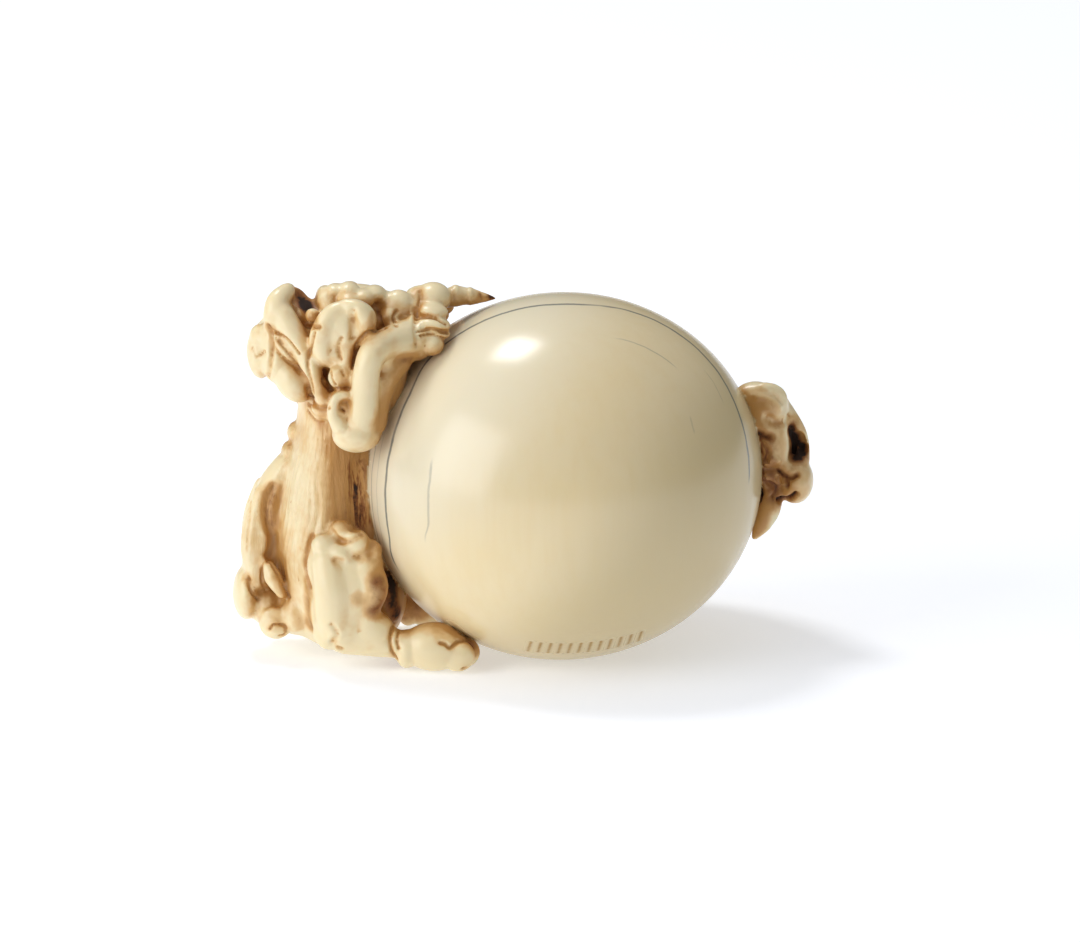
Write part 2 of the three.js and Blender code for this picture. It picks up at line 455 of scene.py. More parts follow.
FACE_MARKS = (
    line(0.40, 0.26, 0.12, (-23.4, 11.9), (-23.1, 11.1), (-23.1, 9.8), (-23.3, 8.5), (-23.5, 7.6)),
    line(0.28, 0.14, 0.10, (-24.7, 10.2), (-24.3, 9.5), (-23.7, 9.9)),
    line(0.40, 0.34, 0.28, (-21.0, 8.6), (-20.4, 7.7), (-20.1, 6.7), (-19.9, 5.9), (-19.4, 5.4), (-18.7, 5.4)),
    line(0.30, 0.24, 0.22, (-19.7, 11.4), (-20.0, 10.1), (-20.2, 8.8), (-20.0, 7.5), (-19.8, 6.2)),
    line(0.34, 0.30, 0.36, (-21.4, 14.1), (-21.0, 12.8), (-20.2, 11.9), (-19.3, 11.8)),
    line(0.22, 0.20, 0.22, (-23.1, 11.6), (-21.9, 10.9), (-20.9, 9.7)),
    line(0.20, 0.18, 0.24, (-22.8, 11.0), (-22.1, 10.1), (-21.3, 9.1)),
    line(0.22, 0.18, 0.20, (-23.2, 11.0), (-22.9, 10.2), (-22.1, 9.3), (-21.2, 8.7)),
    line(0.26, 0.18, 0.54, (-22.5, 10.75), (-22.3, 10.5)),
    line(0.20, 0.14, 0.50, (-21.65, 9.7), (-21.55, 9.6)),
    line(0.20, 0.20, 0.83, (-23.3, 11.8), (-23.2, 11.75)),
    line(0.20, 0.20, 0.83, (-21.05, 8.8), (-20.95, 8.7)),
    line(0.55, 0.26, 0.10, (-16.6, 13.1), (-16.6, 12.1), (-16.6, 10.9)),
    line(0.42, 0.34, 0.83, (-18.9, 8.3), (-18.9, 7.5), (-18.4, 6.9)),
    line(0.26, 0.22, 0.32, (-18.3, 6.9), (-17.6, 6.95), (-17.0, 6.9)),
    line(0.22, 0.20, 0.32, (-18.4, 8.3), (-18.3, 7.7), (-18.0, 7.2)),
    line(0.20, 0.14, 0.36, (-17.5, 8.4), (-17.3, 8.0)),
    line(0.22, 0.16, 0.40, (-20.2, 5.7), (-19.3, 5.3), (-18.5, 5.4)),
    line(0.20, 0.14, 0.32, (-20.3, 5.2), (-19.7, 4.5), (-19.0, 4.3)),
    line(0.28, 0.34, 0.87, (-17.45, 5.3), (-17.3, 5.15)),
    line(0.30, 0.16, 0.18, (-17.5, 10.9), (-17.8, 10.1), (-17.6, 9.3)),
)

PAW_MARKS = (
    line(0.32, 0.28, 0.14, (-11.6, 12.55), (-10.4, 12.65), (-9.2, 12.1)),
    line(0.28, 0.26, 0.16, (-11.5, 11.5), (-10.4, 11.65), (-9.1, 11.4)),
    line(0.26, 0.22, 0.14, (-11.2, 11.15), (-10.3, 11.3), (-9.4, 10.9)),
    line(0.40, 0.20, 0.12, (-11.55, 13.2), (-11.65, 11.9), (-11.55, 10.4)),
    line(0.26, 0.20, 0.38, (-11.35, 14.7), (-11.3, 14.1), (-11.4, 13.4)),
    line(0.26, 0.10, 0.70, (-6.5, 14.5), (-6.4, 14.1)),
    line(0.36, 0.06, 1.40, (-5.7, 14.32), (-5.2, 14.25)),
    line(0.34, 0.30, 0.74, (-14.7, 13.2), (-14.4, 12.1), (-14.2, 11.7)),
    line(0.26, 0.22, 0.30, (-13.2, 11.9), (-13.4, 12.6), (-13.2, 13.1)),
    line(0.26, 0.25, 0.30, (-14.5, 11.6), (-15.4, 11.4), (-16.2, 10.6), (-16.5, 9.6), (-16.6, 8.6)),
)

TAIL_MARKS = (
    line(0.60, 0.40, 0.34, (-23.1, -0.8), (-23.6, -2.2), (-23.5, -3.7), (-23.1, -5.1), (-23.5, -6.6)),
    line(0.28, 0.25, 0.92, (-25.1, -8.2), (-25.05, -8.3)),
    line(0.22, 0.20, 0.48, (-25.1, -8.2), (-24.9, -9.1), (-24.4, -9.8)),
    line(0.18, 0.16, 0.45, (-23.9, -6.6), (-24.0, -8.3), (-23.7, -9.2)),
    line(0.22, 0.20, 0.45, (-23.4, -6.6), (-22.5, -8.2), (-21.8, -9.7)),
    line(0.22, 0.22, 0.42, (-23.4, -12.3), (-23.0, -11.9), (-22.2, -12.0), (-22.1, -12.6), (-22.6, -12.8)),
    line(0.22, 0.10, 0.18, (-24.9, -2.0), (-25.1, -4.4), (-25.2, -6.0)),
)

LEG_MARKS = (
    line(0.34, 0.26, 0.21, (-19.9, -4.8), (-20.4, -6.2), (-20.5, -7.5), (-20.1, -8.8)),
    line(0.24, 0.24, 0.46, (-13.4, -11.8), (-13.7, -12.8), (-13.6, -13.9), (-13.2, -14.6)),
    line(0.20, 0.18, 0.38, (-13.0, -12.2), (-13.15, -13.0), (-13.05, -13.8)),
    line(0.28, 0.26, 0.34, (-9.7, -13.3), (-9.3, -13.4), (-8.9, -13.7), (-8.3, -13.2), (-7.6, -13.1)),
    line(0.32, 0.20, 0.26, (-9.0, -11.7), (-8.1, -12.5), (-7.2, -13.1)),
    line(0.36, 0.26, 0.92, (-7.3, -13.3), (-7.15, -13.6)),
    line(0.26, 0.20, 0.45, (-7.9, -15.4), (-7.7, -15.35)),
    line(0.45, 0.24, 0.21, (-18.4, -4.4), (-17.6, -5.2), (-16.8, -5.1), (-15.9, -4.6)),
    line(0.55, 0.22, 0.24, (-18.0, -6.7), (-17.6, -6.8)),
    line(0.55, 0.20, 0.29, (-16.7, -4.2), (-16.4, -4.3)),
    line(0.55, 0.22, 0.32, (-15.2, -5.4), (-15.3, -6.2)),
    line(0.28, 0.20, 0.45, (-17.9, -13.7), (-17.6, -13.8)),
    line(0.40, 0.20, 0.14, (-18.4, -11.9), (-17.9, -12.6), (-18.3, -13.2)),
)

CUB_MARKS = (
    line(0.42, 0.45, 1.10, (15.85, 3.5), (15.95, 1.9), (15.95, -0.1), (15.8, -1.9)),
    line(0.60, 0.60, 1.20, (15.7, 3.4), (16.2, 3.2), (16.7, 3.1)),
    line(0.45, 0.50, 1.06, (17.4, 0.45), (17.9, 0.0), (18.3, -0.15), (18.8, 0.1)),
    line(0.40, 0.45, 1.01, (18.0, -0.1), (17.95, -0.8)),
    line(0.45, 0.50, 1.06, (17.4, -1.9), (18.1, -1.9), (18.7, -1.5)),
    line(0.40, 0.40, 0.87, (16.0, 2.7), (16.5, 1.9), (16.3, 1.2)),
    line(0.40, 0.40, 0.55, (16.0, 0.7), (16.5, 0.4), (17.1, 0.5)),
    line(0.42, 0.42, 0.87, (15.9, -0.3), (16.6, -0.6), (17.2, -1.1), (16.9, -1.7)),
    line(0.45, 0.35, 0.41, (17.3, -0.2), (17.4, -0.9), (17.2, -1.5)),
    line(0.60, 0.30, 0.18, (16.5, 4.6), (17.3, 4.2), (17.8, 4.4)),
    line(0.50, -0.25, 0.00, (16.1, 1.0), (16.7, 1.3), (17.3, 1.2)),
    line(0.50, -0.25, 0.00, (16.3, -0.1), (17.0, -0.2), (17.5, -0.6)),
    line(0.50, -0.20, 0.00, (15.6, 6.3), (16.6, 6.2), (17.4, 5.5)),
)

SIGN_WIDTH, SIGN_DEPTH, SIGN_STAIN = 0.17, 0.05, 0.95
SIGN_START, SIGN_PITCH, SIGN_COUNT = -2.6, 0.8, 12
SIGN_TALL, SIGN_LEAN = 0.7, 0.12
SIGN_DROP, SIGN_SWEEP = 13.75, 17.0


def stroke_row() -> tuple[Mark, ...]:
    """Lays out even, parallel strokes that spell nothing, where carvers sign.

    Returns:
        The strokes, on a curve a little inside the ball's lower edge.
    """
    strokes = []
    for i in range(SIGN_COUNT):
        u = SIGN_START + SIGN_PITCH * i
        v = -SIGN_DROP * math.sqrt(1 - (u / SIGN_SWEEP) ** 2)
        foot, head = (u - SIGN_LEAN, v - SIGN_TALL / 2), (u + SIGN_LEAN, v + SIGN_TALL / 2)
        strokes.append(line(SIGN_WIDTH, SIGN_DEPTH, SIGN_STAIN, foot, head))
    return tuple(strokes)


STROKES = stroke_row()

# Stain patches laid on the front sheet. The cub's rows are partly its stain and partly painted shade on its shaded face
# and in its mouth hole.
STAIN_AND_SHADE_PATCHES = (
    line(0.9, 0.0, 0.45, (-15.3, -10.1), (-16.3, -9.7)),
    line(1.9, 0.0, 1.05, (-16.6, 0.4), (-16.6, -1.0), (-16.4, -2.4), (-15.9, -3.4)),
    line(0.7, 0.0, 0.80, (-16.2, 1.2), (-16.6, 1.2)),
    line(2.4, 0.0, 0.34, (-17.7, 1.6), (-17.9, -0.5), (-17.7, -3.0)),
    line(1.4, 0.0, 0.36, (-12.9, 8.6), (-13.4, 7.2), (-14.1, 5.3), (-14.5, 4.2)),
    line(0.9, 0.0, 0.70, (-12.6, 9.3), (-12.2, 9.2)),
    line(0.9, 0.0, 0.62, (-8.6, -11.9), (-7.8, -12.6), (-7.1, -13.6)),
    line(1.0, 0.0, 0.72, (-23.1, -1.2), (-23.4, -2.6), (-23.4, -3.9)),
    line(0.9, 0.0, 0.38, (-23.2, -4.0), (-23.2, -6.0)),
    line(1.1, 0.0, 1.25, (-20.9, 14.4), (-20.5, 13.8), (-20.3, 13.2)),
    line(0.8, 0.0, 0.60, (-20.2, 12.6), (-19.7, 12.2)),
    line(0.8, 0.0, 0.45, (-11.5, 14.8), (-11.3, 13.4)),
    line(0.9, 0.0, 0.55, (-20.2, -8.5), (-20.2, -10.5), (-20.0, -12.0)),
    line(0.8, 0.0, 0.60, (-18.8, 8.2), (-18.8, 7.5), (-18.4, 6.9)),
    line(0.9, 0.0, 0.45, (-17.1, 5.9), (-17.3, 5.4)),
    line(1.0, 0.0, 0.34, (-17.65, 7.9), (-17.3, 7.4)),
    line(1.1, 0.0, 0.28, (-19.3, 5.0), (-19.0, 4.2)),
    line(0.8, 0.0, 0.50, (-14.9, 12.6), (-15.0, 11.9)),
    line(1.2, 0.0, 0.22, (-17.4, 14.3), (-16.0, 14.1), (-14.6, 13.7)),
    line(0.9, 0.0, 0.10, (-8.2, 14.1), (-7.2, 14.0), (-6.4, 14.1)),
    line(1.3, 0.0, 1.25, (-13.7, -8.0), (-13.5, -9.6), (-13.2, -11.0)),
    line(1.5, 0.0, 0.70, (-12.4, -9.6), (-11.8, -10.6), (-12.6, -11.4)),
    line(1.3, 0.0, 0.88, (-14.6, -8.6), (-14.4, -9.6), (-14.8, -10.5)),
    line(1.0, 0.0, 0.42, (-18.2, -4.0), (-17.2, -3.8), (-16.2, -4.0)),
    # Partly stain, partly painted shade: the cub's face and mouth hole are darkened where shade falls on them.
    line(1.2, 0.0, 1.25, (18.3, 3.9), (18.7, 2.4), (18.9, 1.6)),
    line(0.8, 0.0, 1.25, (19.2, 2.4), (19.3, 1.7)),
    line(1.8, 0.0, 0.68, (16.4, 3.0), (16.7, 1.2), (16.9, -0.6), (16.9, -1.6)),
    line(1.3, 0.0, 0.30, (15.8, 5.9), (16.8, 5.4)),
    line(1.4, 0.0, 0.36, (18.0, 0.2), (18.0, -1.8)),
    line(1.0, 0.0, 0.45, (16.0, -3.0), (15.8, -4.5)),
)


# ---------------------------------------------------------------- the parts of the carving


@dataclass
class Ball:
    """The polished ball, a little longer than high, with its cord tunnel and its small foot."""

    radii: Vec = (16.0, 15.0, 14.7)
    tilt: float = 4.0
    floor: float = -14.4
    segments: int = 160
    rings: int = 80
    hole_wide: float = 2.3
    hole_narrow: float = 1.7

    def body(self) -> bpy.types.Object:
        """Makes the ball, tilted a little."""
        deselect()
        bpy.ops.mesh.primitive_uv_sphere_add(
            segments=self.segments, ring_count=self.rings, radius=1, scale=self.radii,
            rotation=(0, -math.radians(self.tilt), 0))
        bpy.ops.object.transform_apply(location=True, rotation=True, scale=True)
        return bpy.context.object

    def sign(self, body: bpy.types.Object) -> list:
        """Cuts a row of plain strokes low on the front, where carvers sign, and returns their lines."""
        pick(body)
        bpy.ops.object.mode_set(mode="EDIT")
        bpy.ops.mesh.select_all(action="DESELECT")
        bpy.ops.object.mode_set(mode="OBJECT")
        for face in body.data.polygons:
            x, y, z = face.center
            height = y * math.sin(VIEW_RISE) + z * math.cos(VIEW_RISE)
            face.select = y < 0 and -3.4 < x < 7.6 and -14.6 < height < -12.2
        bpy.ops.object.mode_set(mode="EDIT")
        bpy.ops.mesh.select_mode(type="FACE")
        bpy.ops.mesh.subdivide(number_cuts=4, quadcorner="INNERVERT")
        bpy.ops.object.mode_set(mode="OBJECT")
        chisel = Chisel(body)
        traced = [(mark, chisel.trace(mark, Side.FRONT)) for mark in STROKES]
        for mark, path in traced:
            chisel.cut(path, mark.width, mark.depth)
        chisel.finish()
        return traced

    def tunnel(self) -> bpy.types.Object:
        """Makes the curved tunnel's shape, its two mouths a little flared."""
        bench = Bench()
        wide, narrow = self.hole_wide, self.hole_narrow
        bench.limb([(-9.4, 19, 2), (-8, 14.2, 2.2), (-6.2, 11.8, 2.6), (-2.4, 9.8, 3.1), (1.2, 12, 3.5),
                    (2.0, 14.8, 3.6), (2.8, 19, 3.8)],
                   [wide * 1.2, wide, wide, (wide + narrow) / 2, narrow, narrow, narrow * 1.25])
        return bench.fuse(0.25, 2)

    def slab(self) -> bpy.types.Object:
        """Makes the block below the standing plane that is cut away."""
        deselect()
        bpy.ops.mesh.primitive_cube_add(size=1, location=(0, 0, self.floor - 5), scale=(90, 90, 10))
        bpy.ops.object.transform_apply(location=True, rotation=True, scale=True)
        return bpy.context.object


@dataclass
class Lion:
    """The lion-dog on its hind legs, head thrown back, gripping the ball from the left."""

    voxel: float = 0.14

    def masses(self, bench: Bench) -> None:
        """Blocks out body, head and hind quarters."""
        bench.limb([(-18.2, 0, 8.6), (-18.3, 0, 4.5), (-18.7, 0, 0), (-19.0, 0, -4.5), (-18.8, 0, -10.2)],
                   [2.8, 3.0, 3.5, 4.1, 3.7], deep=1.45)
        bench.lump((-15.8, 0, -3), (2.8, 4.4, 8.5))
        bench.lump((-17.8, 0, 7.6), (3.0, 5.0, 3.2))
        bench.lump((-19.9, 0, 10.4), (3.7, 4.5, 4.0))
        bench.lump((-21.9, 0, 13.2), (1.9, 3.4, 2.4), (0, 15, 0))
        bench.lump((-23.6, 0, 10.5), (1.2, 2.8, 2.3), (0, -8, 0))
        bench.lump((-16.6, 0, 10.2), (3.6, 5.2, 3.9))
        bench.limb([seen(-18.8, 13.6, 0.2), seen(-16.8, 13.6, 0.2), seen(-14.6, 13.0, 0), seen(-12.8, 12.0, 0)],
                   [0.95, 1.2, 1.4, 1.5], deep=2.0)
        bench.lump((-14.1, -0.6, -9.6), (1.7, 4.4, 3.0))
        bench.lump((-15.4, 0, -11.6), (2.6, 5.0, 1.6))
        bench.limb([(-22.0, 0, 1.2), (-23.2, 0, -0.8), (-23.7, 0, -3), (-24.1, 0, -5.7), (-24.2, 0, -8)],
                   [0.9, 1.15, 1.4, 1.5, 1.5], deep=1.9)
        bench.lump((-21, 0, -10.6), (2.6, 3.6, 2.5))
        bench.both((-17.7, -4.9, -6.6), (3.0, 2.7, 3.7))
        bench.both((-17.6, -5.3, -9.4), (2.6, 2.5, 3.6))
        bench.both_limb([(-17.4, -5.8, -11.7), (-15.2, -6.1, -11.9), (-13.3, -6.4, -12.1)], [1.5, 1.4, 1.25])

    def mouth(self) -> bpy.types.Object:
        """Makes the shape of the open mouth, deep into the head."""
        bench = Bench()
        bench.lump(seen(-20.5, 14.3, -3.2), (1.1, 4.6, 1.6), (0, 22, 0))
        bench.lump(seen(-20.4, 13.4, -3.6), (1.1, 2.4, 1.2))
        return bench.fuse(0.2, 2)

    def face(self, bench: Bench) -> None:
        """Adds muzzle, nose, eyes, lids and jowls on both sides of the head."""
        roll = HEAD_ROLL
        bench.both(seen(-22.2, 11.0, -2.4), (1.9, 1.7, 2.8), (0, 20, 0), roll)
        bench.both_limb([seen(-21.95, 14.65, -2.0), seen(-22.6, 13.8, -2.8), seen(-22.8, 12.7, -3.2),
                         seen(-23.0, 11.9, -3.0)], [0.75, 1.0, 1.05, 0.8], roll)
        bench.both_limb([seen(-22.2, 12.8, -3.5), seen(-21.45, 11.5, -4.0), seen(-20.6, 10.1, -4.4),
                         seen(-19.95, 8.5, -4.8), seen(-19.4, 7.2, -5.0), seen(-18.95, 6.2, -4.9)],
                        [0.95, 1.0, 0.92, 0.82, 0.75, 0.62], roll)
        bench.both(seen(-24.15, 9.7, -1.5), (1.0, 1.8, 2.0), (0, -6, 0), roll)
        bench.both(seen(-24.1, 11.1, -1.7), (0.85, 1.4, 1.0), (0, 0, 0), roll)
        bench.both(seen(-22.0, 10.2, -3.9), (1.6, 0.8, 0.6), (0, 52, 0), roll)
        bench.both(seen(-22.6, 9.0, -3.1), (1.3, 1.4, 1.7), (0, 0, 0), roll)
        bench.both(seen(-21.35, 7.6, -3.4), (1.45, 1.9, 1.95), (0, -35, 0), roll)

    def ears(self, bench: Bench) -> None:
        """Adds the leaf-shaped ears, the curl below each, and the locks of the mane."""
        roll = HEAD_ROLL
        bench.both(seen(-17.4, 11.7, -5.0), (1.95, 1.15, 2.1), (0, 15, 0), roll)
        bench.both(seen(-18.3, 11.6, -5.3), (0.95, 0.75, 1.7), (0, 10, 0), roll)
        bench.both_limb([seen(-17.3, 13.3, -5.0), seen(-18.2, 12.9, -5.2), seen(-18.9, 11.9, -5.35),
                         seen(-19.2, 10.8, -5.3), seen(-19.0, 9.8, -5.2), seen(-18.6, 9.1, -5.0)],
                        [0.7, 0.8, 0.9, 0.95, 0.8, 0.55], roll)
        bench.both_limb([seen(-17.1, 13.5, -5.2), seen(-16.3, 13.2, -5.4), seen(-15.7, 12.6, -5.4),
                         seen(-15.7, 11.9, -5.3), seen(-16.2, 11.2, -5.2), seen(-16.8, 10.4, -5.3)],
                        [0.65, 0.85, 0.95, 0.9, 0.65, 0.45], roll)
        bench.both(seen(-17.65, 7.85, -5.8), (1.0, 0.75, 1.0), (0, 0, 0), roll)
        bench.both(seen(-18.0, 9.7, -5.1), (0.8, 0.7, 0.9), (0, 0, 0), roll)
        bench.both_limb([seen(-17.1, 9.8, -5.4), seen(-17.2, 9.0, -5.5), seen(-16.7, 8.2, -5.6)],
                        [0.6, 0.55, 0.5], roll)
        bench.both(seen(-18.6, 5.6, -4.4), (1.4, 1.2, 1.2), (0, 0, 0), roll)

    def jaw(self, bench: Bench) -> None:
        """Adds the lower jaw with its short beard."""
        roll = HEAD_ROLL
        bench.both_limb([seen(-18.95, 14.5, -1.7), seen(-18.85, 13.9, -2.4), seen(-18.5, 13.1, -3.2)],
                        [0.62, 0.72, 0.65], roll)
        bench.lump(seen(-18.9, 14.3, 0.3), (0.8, 2.4, 0.8))
        bench.both(seen(-18.1, 14.75, -1.9), (0.75, 1.0, 0.6), (0, 0, 0), roll)
        bench.both(seen(-17.9, 14.1, -2.0), (0.8, 0.9, 0.65), (0, 0, 0), roll)
        bench.both(seen(-17.0, 14.7, -2.0), (0.95, 1.2, 0.8), (0, 0, 0), roll)
        bench.both(seen(-15.8, 14.1, -2.5), (0.9, 1.1, 0.8), (0, 0, 0), roll)
        bench.both(seen(-15.0, 14.55, -1.6), (0.95, 1.2, 0.65), (0, 0, 0), roll)
        bench.both(seen(-16.9, 13.95, -3.1), (1.0, 0.9, 0.55), (0, 0, 0), roll)
        bench.both(seen(-14.0, 14.1, -1.2), (0.85, 1.1, 0.6), (0, 0, 0), roll)
        bench.lump(seen(-16.4, 14.5, 0.3), (2.2, 1.6, 0.8))
        bench.lump(seen(-19.85, 12.75, -3.9), 0.62)
        bench.limb([seen(-19.8, 12.7, -3.7), (-19.2, -3.0, 13.6), (-18.5, -2.4, 12.6)], [0.45, 0.6, 0.8])

    def near_arm(self, bench: Bench) -> None:
        """Adds the near foreleg: elbow low, forearm upright, paw over the ball."""
        bench.limb([(-16.6, -3.8, 9.0), (-17.0, -5.2, 6.6), (-16.6, -5.9, 5.2)], [1.8, 1.7, 1.6])
        bench.lump(seen(-16.35, 3.3, -6.1), (2.0, 1.9, 1.45))
        bench.limb([seen(-16.1, 3.4, -6.2), seen(-15.75, 5.0, -6.5), seen(-15.65, 6.9, -6.6),
                    seen(-15.45, 8.6, -6.7), seen(-15.0, 9.8, -6.3), seen(-14.0, 10.5, -5.2),
                    seen(-12.7, 10.7, -3.9), seen(-11.7, 10.9, -3.0)],
                   [1.5, 1.32, 1.15, 1.1, 1.15, 1.25, 1.65, 1.8])
        bench.limb([seen(-13.1, 9.3, -3.6), seen(-14.0, 7.9, -4.6), seen(-14.6, 6.2, -5.1),
                    seen(-14.9, 4.2, -5.5)], [1.25, 1.15, 1.05, 1.0], deep=1.4)
        bench.lump(seen(-14.3, 9.3, -5.0), (1.1, 1.1, 1.3))
        bench.lump((-14.0, -3.0, 8.8), (1.6, 2.4, 3.4), (0, 15, 0))

    def far_arm(self, bench: Bench) -> None:
        """Adds the far foreleg, whose knuckles and claw lie over the ball's crown."""
        bench.limb([(-16.4, 4.4, 9.4), (-16.6, 7, 5.9), (-15.8, 7.6, 8.8), (-14.8, 6.4, 11.6),
                    (-12.8, 3.8, 12.8)], [1.9, 2.0, 1.4, 1.3, 1.4])
        bench.lump((-15.2, 5.6, 7.4), (1.2, 1.6, 3.4), (0, 15, 0))
        bench.lump((-14.2, 4.4, 8.6), (1.5, 2.6, 3.2), (0, 15, 0))
        bench.lump((-16.4, 4.2, 6.6), (1.8, 2.4, 2.6))
        bench.lump(seen(-13.8, 12.6, -2.2), (0.9, 1.2, 0.95))
        bench.lump(seen(-13.05, 13.45, -1.5), (1.35, 1.3, 1.45))
        bench.lump(seen(-10.3, 14.2, -0.1), (1.5, 1.5, 1.3))
        bench.lump(seen(-11.3, 14.25, 0.0), (1.3, 1.4, 0.95))
        bench.lump(seen(-11.75, 13.3, -1.5), (0.85, 1.0, 0.8))
        bench.lump((-11.4, 2.2, 12.6), (2.0, 2.0, 1.6))

    def legs(self, bench: Bench) -> None:
        """Adds hip flames, thighs, feet and toes."""
        for u, v, y, r in ((-19.0, -5.6, -6.2, 1.05), (-17.6, -4.4, -6.0, 0.95), (-16.4, -5.3, -6.5, 1.1),
                           (-15.3, -6.0, -6.2, 1.0), (-17.7, -6.3, -6.8, 1.0), (-15.1, -7.0, -6.3, 0.9)):
            bench.both(seen(u, v, y), (r, r * 0.9, r))
        bench.both_limb([seen(-18.7, -6.9, -6.5), seen(-18.3, -9.2, -6.8), seen(-18.2, -11.2, -6.6),
                         seen(-17.8, -12.5, -6.1)], [1.35, 1.6, 1.55, 1.25])
        bench.both_limb([seen(-15.6, -7.4, -6.5), seen(-15.15, -8.8, -6.5), seen(-15.7, -10.6, -6.3),
                         seen(-15.4, -12.3, -6.1)], [1.25, 1.35, 1.25, 1.35])
        bench.both(seen(-16.9, -9.3, -6.5), (1.9, 1.35, 3.4))
        bench.both(seen(-15.2, -12.4, -6.1), (1.9, 1.4, 1.7))
        bench.both(seen(-19.15, -12.6, -5.7), (0.78, 0.8, 0.85))
        bench.both(seen(-18.6, -13.0, -6.1), (1.0, 1.0, 0.9))
        bench.both(seen(-17.3, -13.0, -6.2), (1.3, 1.2, 0.95))
        bench.both(seen(-17.75, -13.6, -6.6), (0.5, 0.6, 0.45))
        bench.both((-12.4, -6.3, -12.6), (1.0, 1.6, 1.6))
        bench.both((-10.2, -6.3, -12.4), (2.7, 2.0, 2.0))
        for y, x in ((-5.1, -8.3), (-6.2, -7.9), (-7.3, -8.3)):
            bench.both((x, y, -12.9), (1.4, 0.72, 1.35))

    def tail(self, bench: Bench) -> None:
        """Adds the tail's end lobe, leaf locks and snail curls."""
        bench.lump(seen(-25.25, -9.3, -0.6), (1.15, 2.7, 2.2))
        bench.both_limb([seen(-23.9, -1.4, -1.2), seen(-24.5, -3.6, -1.5), seen(-24.7, -5.8, -1.8),
                         seen(-24.4, -8.3, -2.1)], [0.8, 1.0, 1.05, 0.8])
        bench.lump((-23.6, 0, -10.4), (1.6, 3.0, 1.9))
        bench.both_limb([seen(-23.6, -6.8, -3.0), seen(-23.1, -8.1, -3.5), seen(-22.4, -9.5, -3.4)],
                        [0.4, 0.75, 0.4])
        bench.both(seen(-22.9, -11.7, -2.5), (1.4, 1.3, 1.4))
        bench.both(seen(-21.3, -11.0, -3.0), (1.15, 1.4, 1.6))
        for side in (NEAR, FAR):
            x, y, z = seen(-22.9, -11.75, -3.2)
            bench.curl((x, y * -side, z), 1.45, start=130, turns=1.25, facing=(0, side, 0), hand=-side)

    def paws(self, bench: Bench) -> None:
        """Adds the near paw's stacked toes, the far paw's claw and the elbow hook."""
        bench.lump(seen(-10.35, 13.15, -2.0), (1.3, 1.3, 0.66), (0, 8, 0))
        bench.lump(seen(-10.2, 12.1, -2.9), (1.35, 1.3, 0.66), (0, 10, 0))
        bench.lump(seen(-10.1, 11.4, -3.1), (1.25, 1.2, 0.4), (0, 8, 0))
        bench.lump(seen(-10.4, 10.45, -3.5), (1.05, 1.3, 0.88))
        bench.limb([seen(-11.9, 12.45, -2.9), seen(-12.05, 11.9, -3.5), seen(-12.15, 11.0, -4.1),
                    seen(-12.4, 10.1, -4.3)], [0.4, 0.55, 0.6, 0.5])
        bench.limb([seen(-9.1, 14.2, 0.9), seen(-8.4, 14.35, 1.2), seen(-7.7, 14.35, 1.4), seen(-7.1, 14.3, 1.5),
                    seen(-6.3, 14.25, 1.6), seen(-5.3, 14.2, 1.7)], [0.8, 0.86, 0.72, 0.66, 0.42, 0.12])
        bench.lump(seen(-8.5, 14.4, 1.1), (0.55, 0.9, 0.9))
        bench.lump(seen(-7.35, 14.35, 1.4), (0.42, 0.8, 0.76))
        bench.lump(seen(-17.4, 5.2, -6.3), (0.8, 0.9, 0.9))
        bench.limb([seen(-17.6, 3.9, -6.9), seen(-18.15, 4.9, -6.9), seen(-18.1, 5.8, -6.9),
                    seen(-17.65, 6.35, -6.8), seen(-17.1, 6.4, -6.8)], [0.75, 0.52, 0.45, 0.42, 0.38])
        for x, y, z in ((-10.2, 3.4, 13.6), (-10.0, 4.8, 12.8), (-10.4, 6.0, 11.8)):
            bench.lump((x, y, z), (1.4, 0.65, 0.9))
        bench.lump(seen(-21.2, 3.5, 0), (0.8, 1.2, 0.9))
        bench.lump(seen(-21.7, 1.95, 0), (0.8, 1.2, 0.9))
        bench.lump(seen(-22.2, 0.5, 0), (0.8, 1.2, 0.9))

    def build(self) -> bpy.types.Object:
        """Builds the lion-dog.

        Returns:
            Its closed skin.
        """
        bench = Bench()
        self.masses(bench)
        core = bench.fuse(0.25, 6)
        combine(core, self.mouth(), "DIFFERENCE")
        bench.take(core)
        self.near_arm(bench)
        self.far_arm(bench)
        self.face(bench)
        self.ears(bench)
        self.jaw(bench)
        self.legs(bench)
        self.tail(bench)
        forms = bench.fuse(0.15, 5)
        bench.take(forms)
        self.paws(bench)
        return bench.fuse(self.voxel, 1)


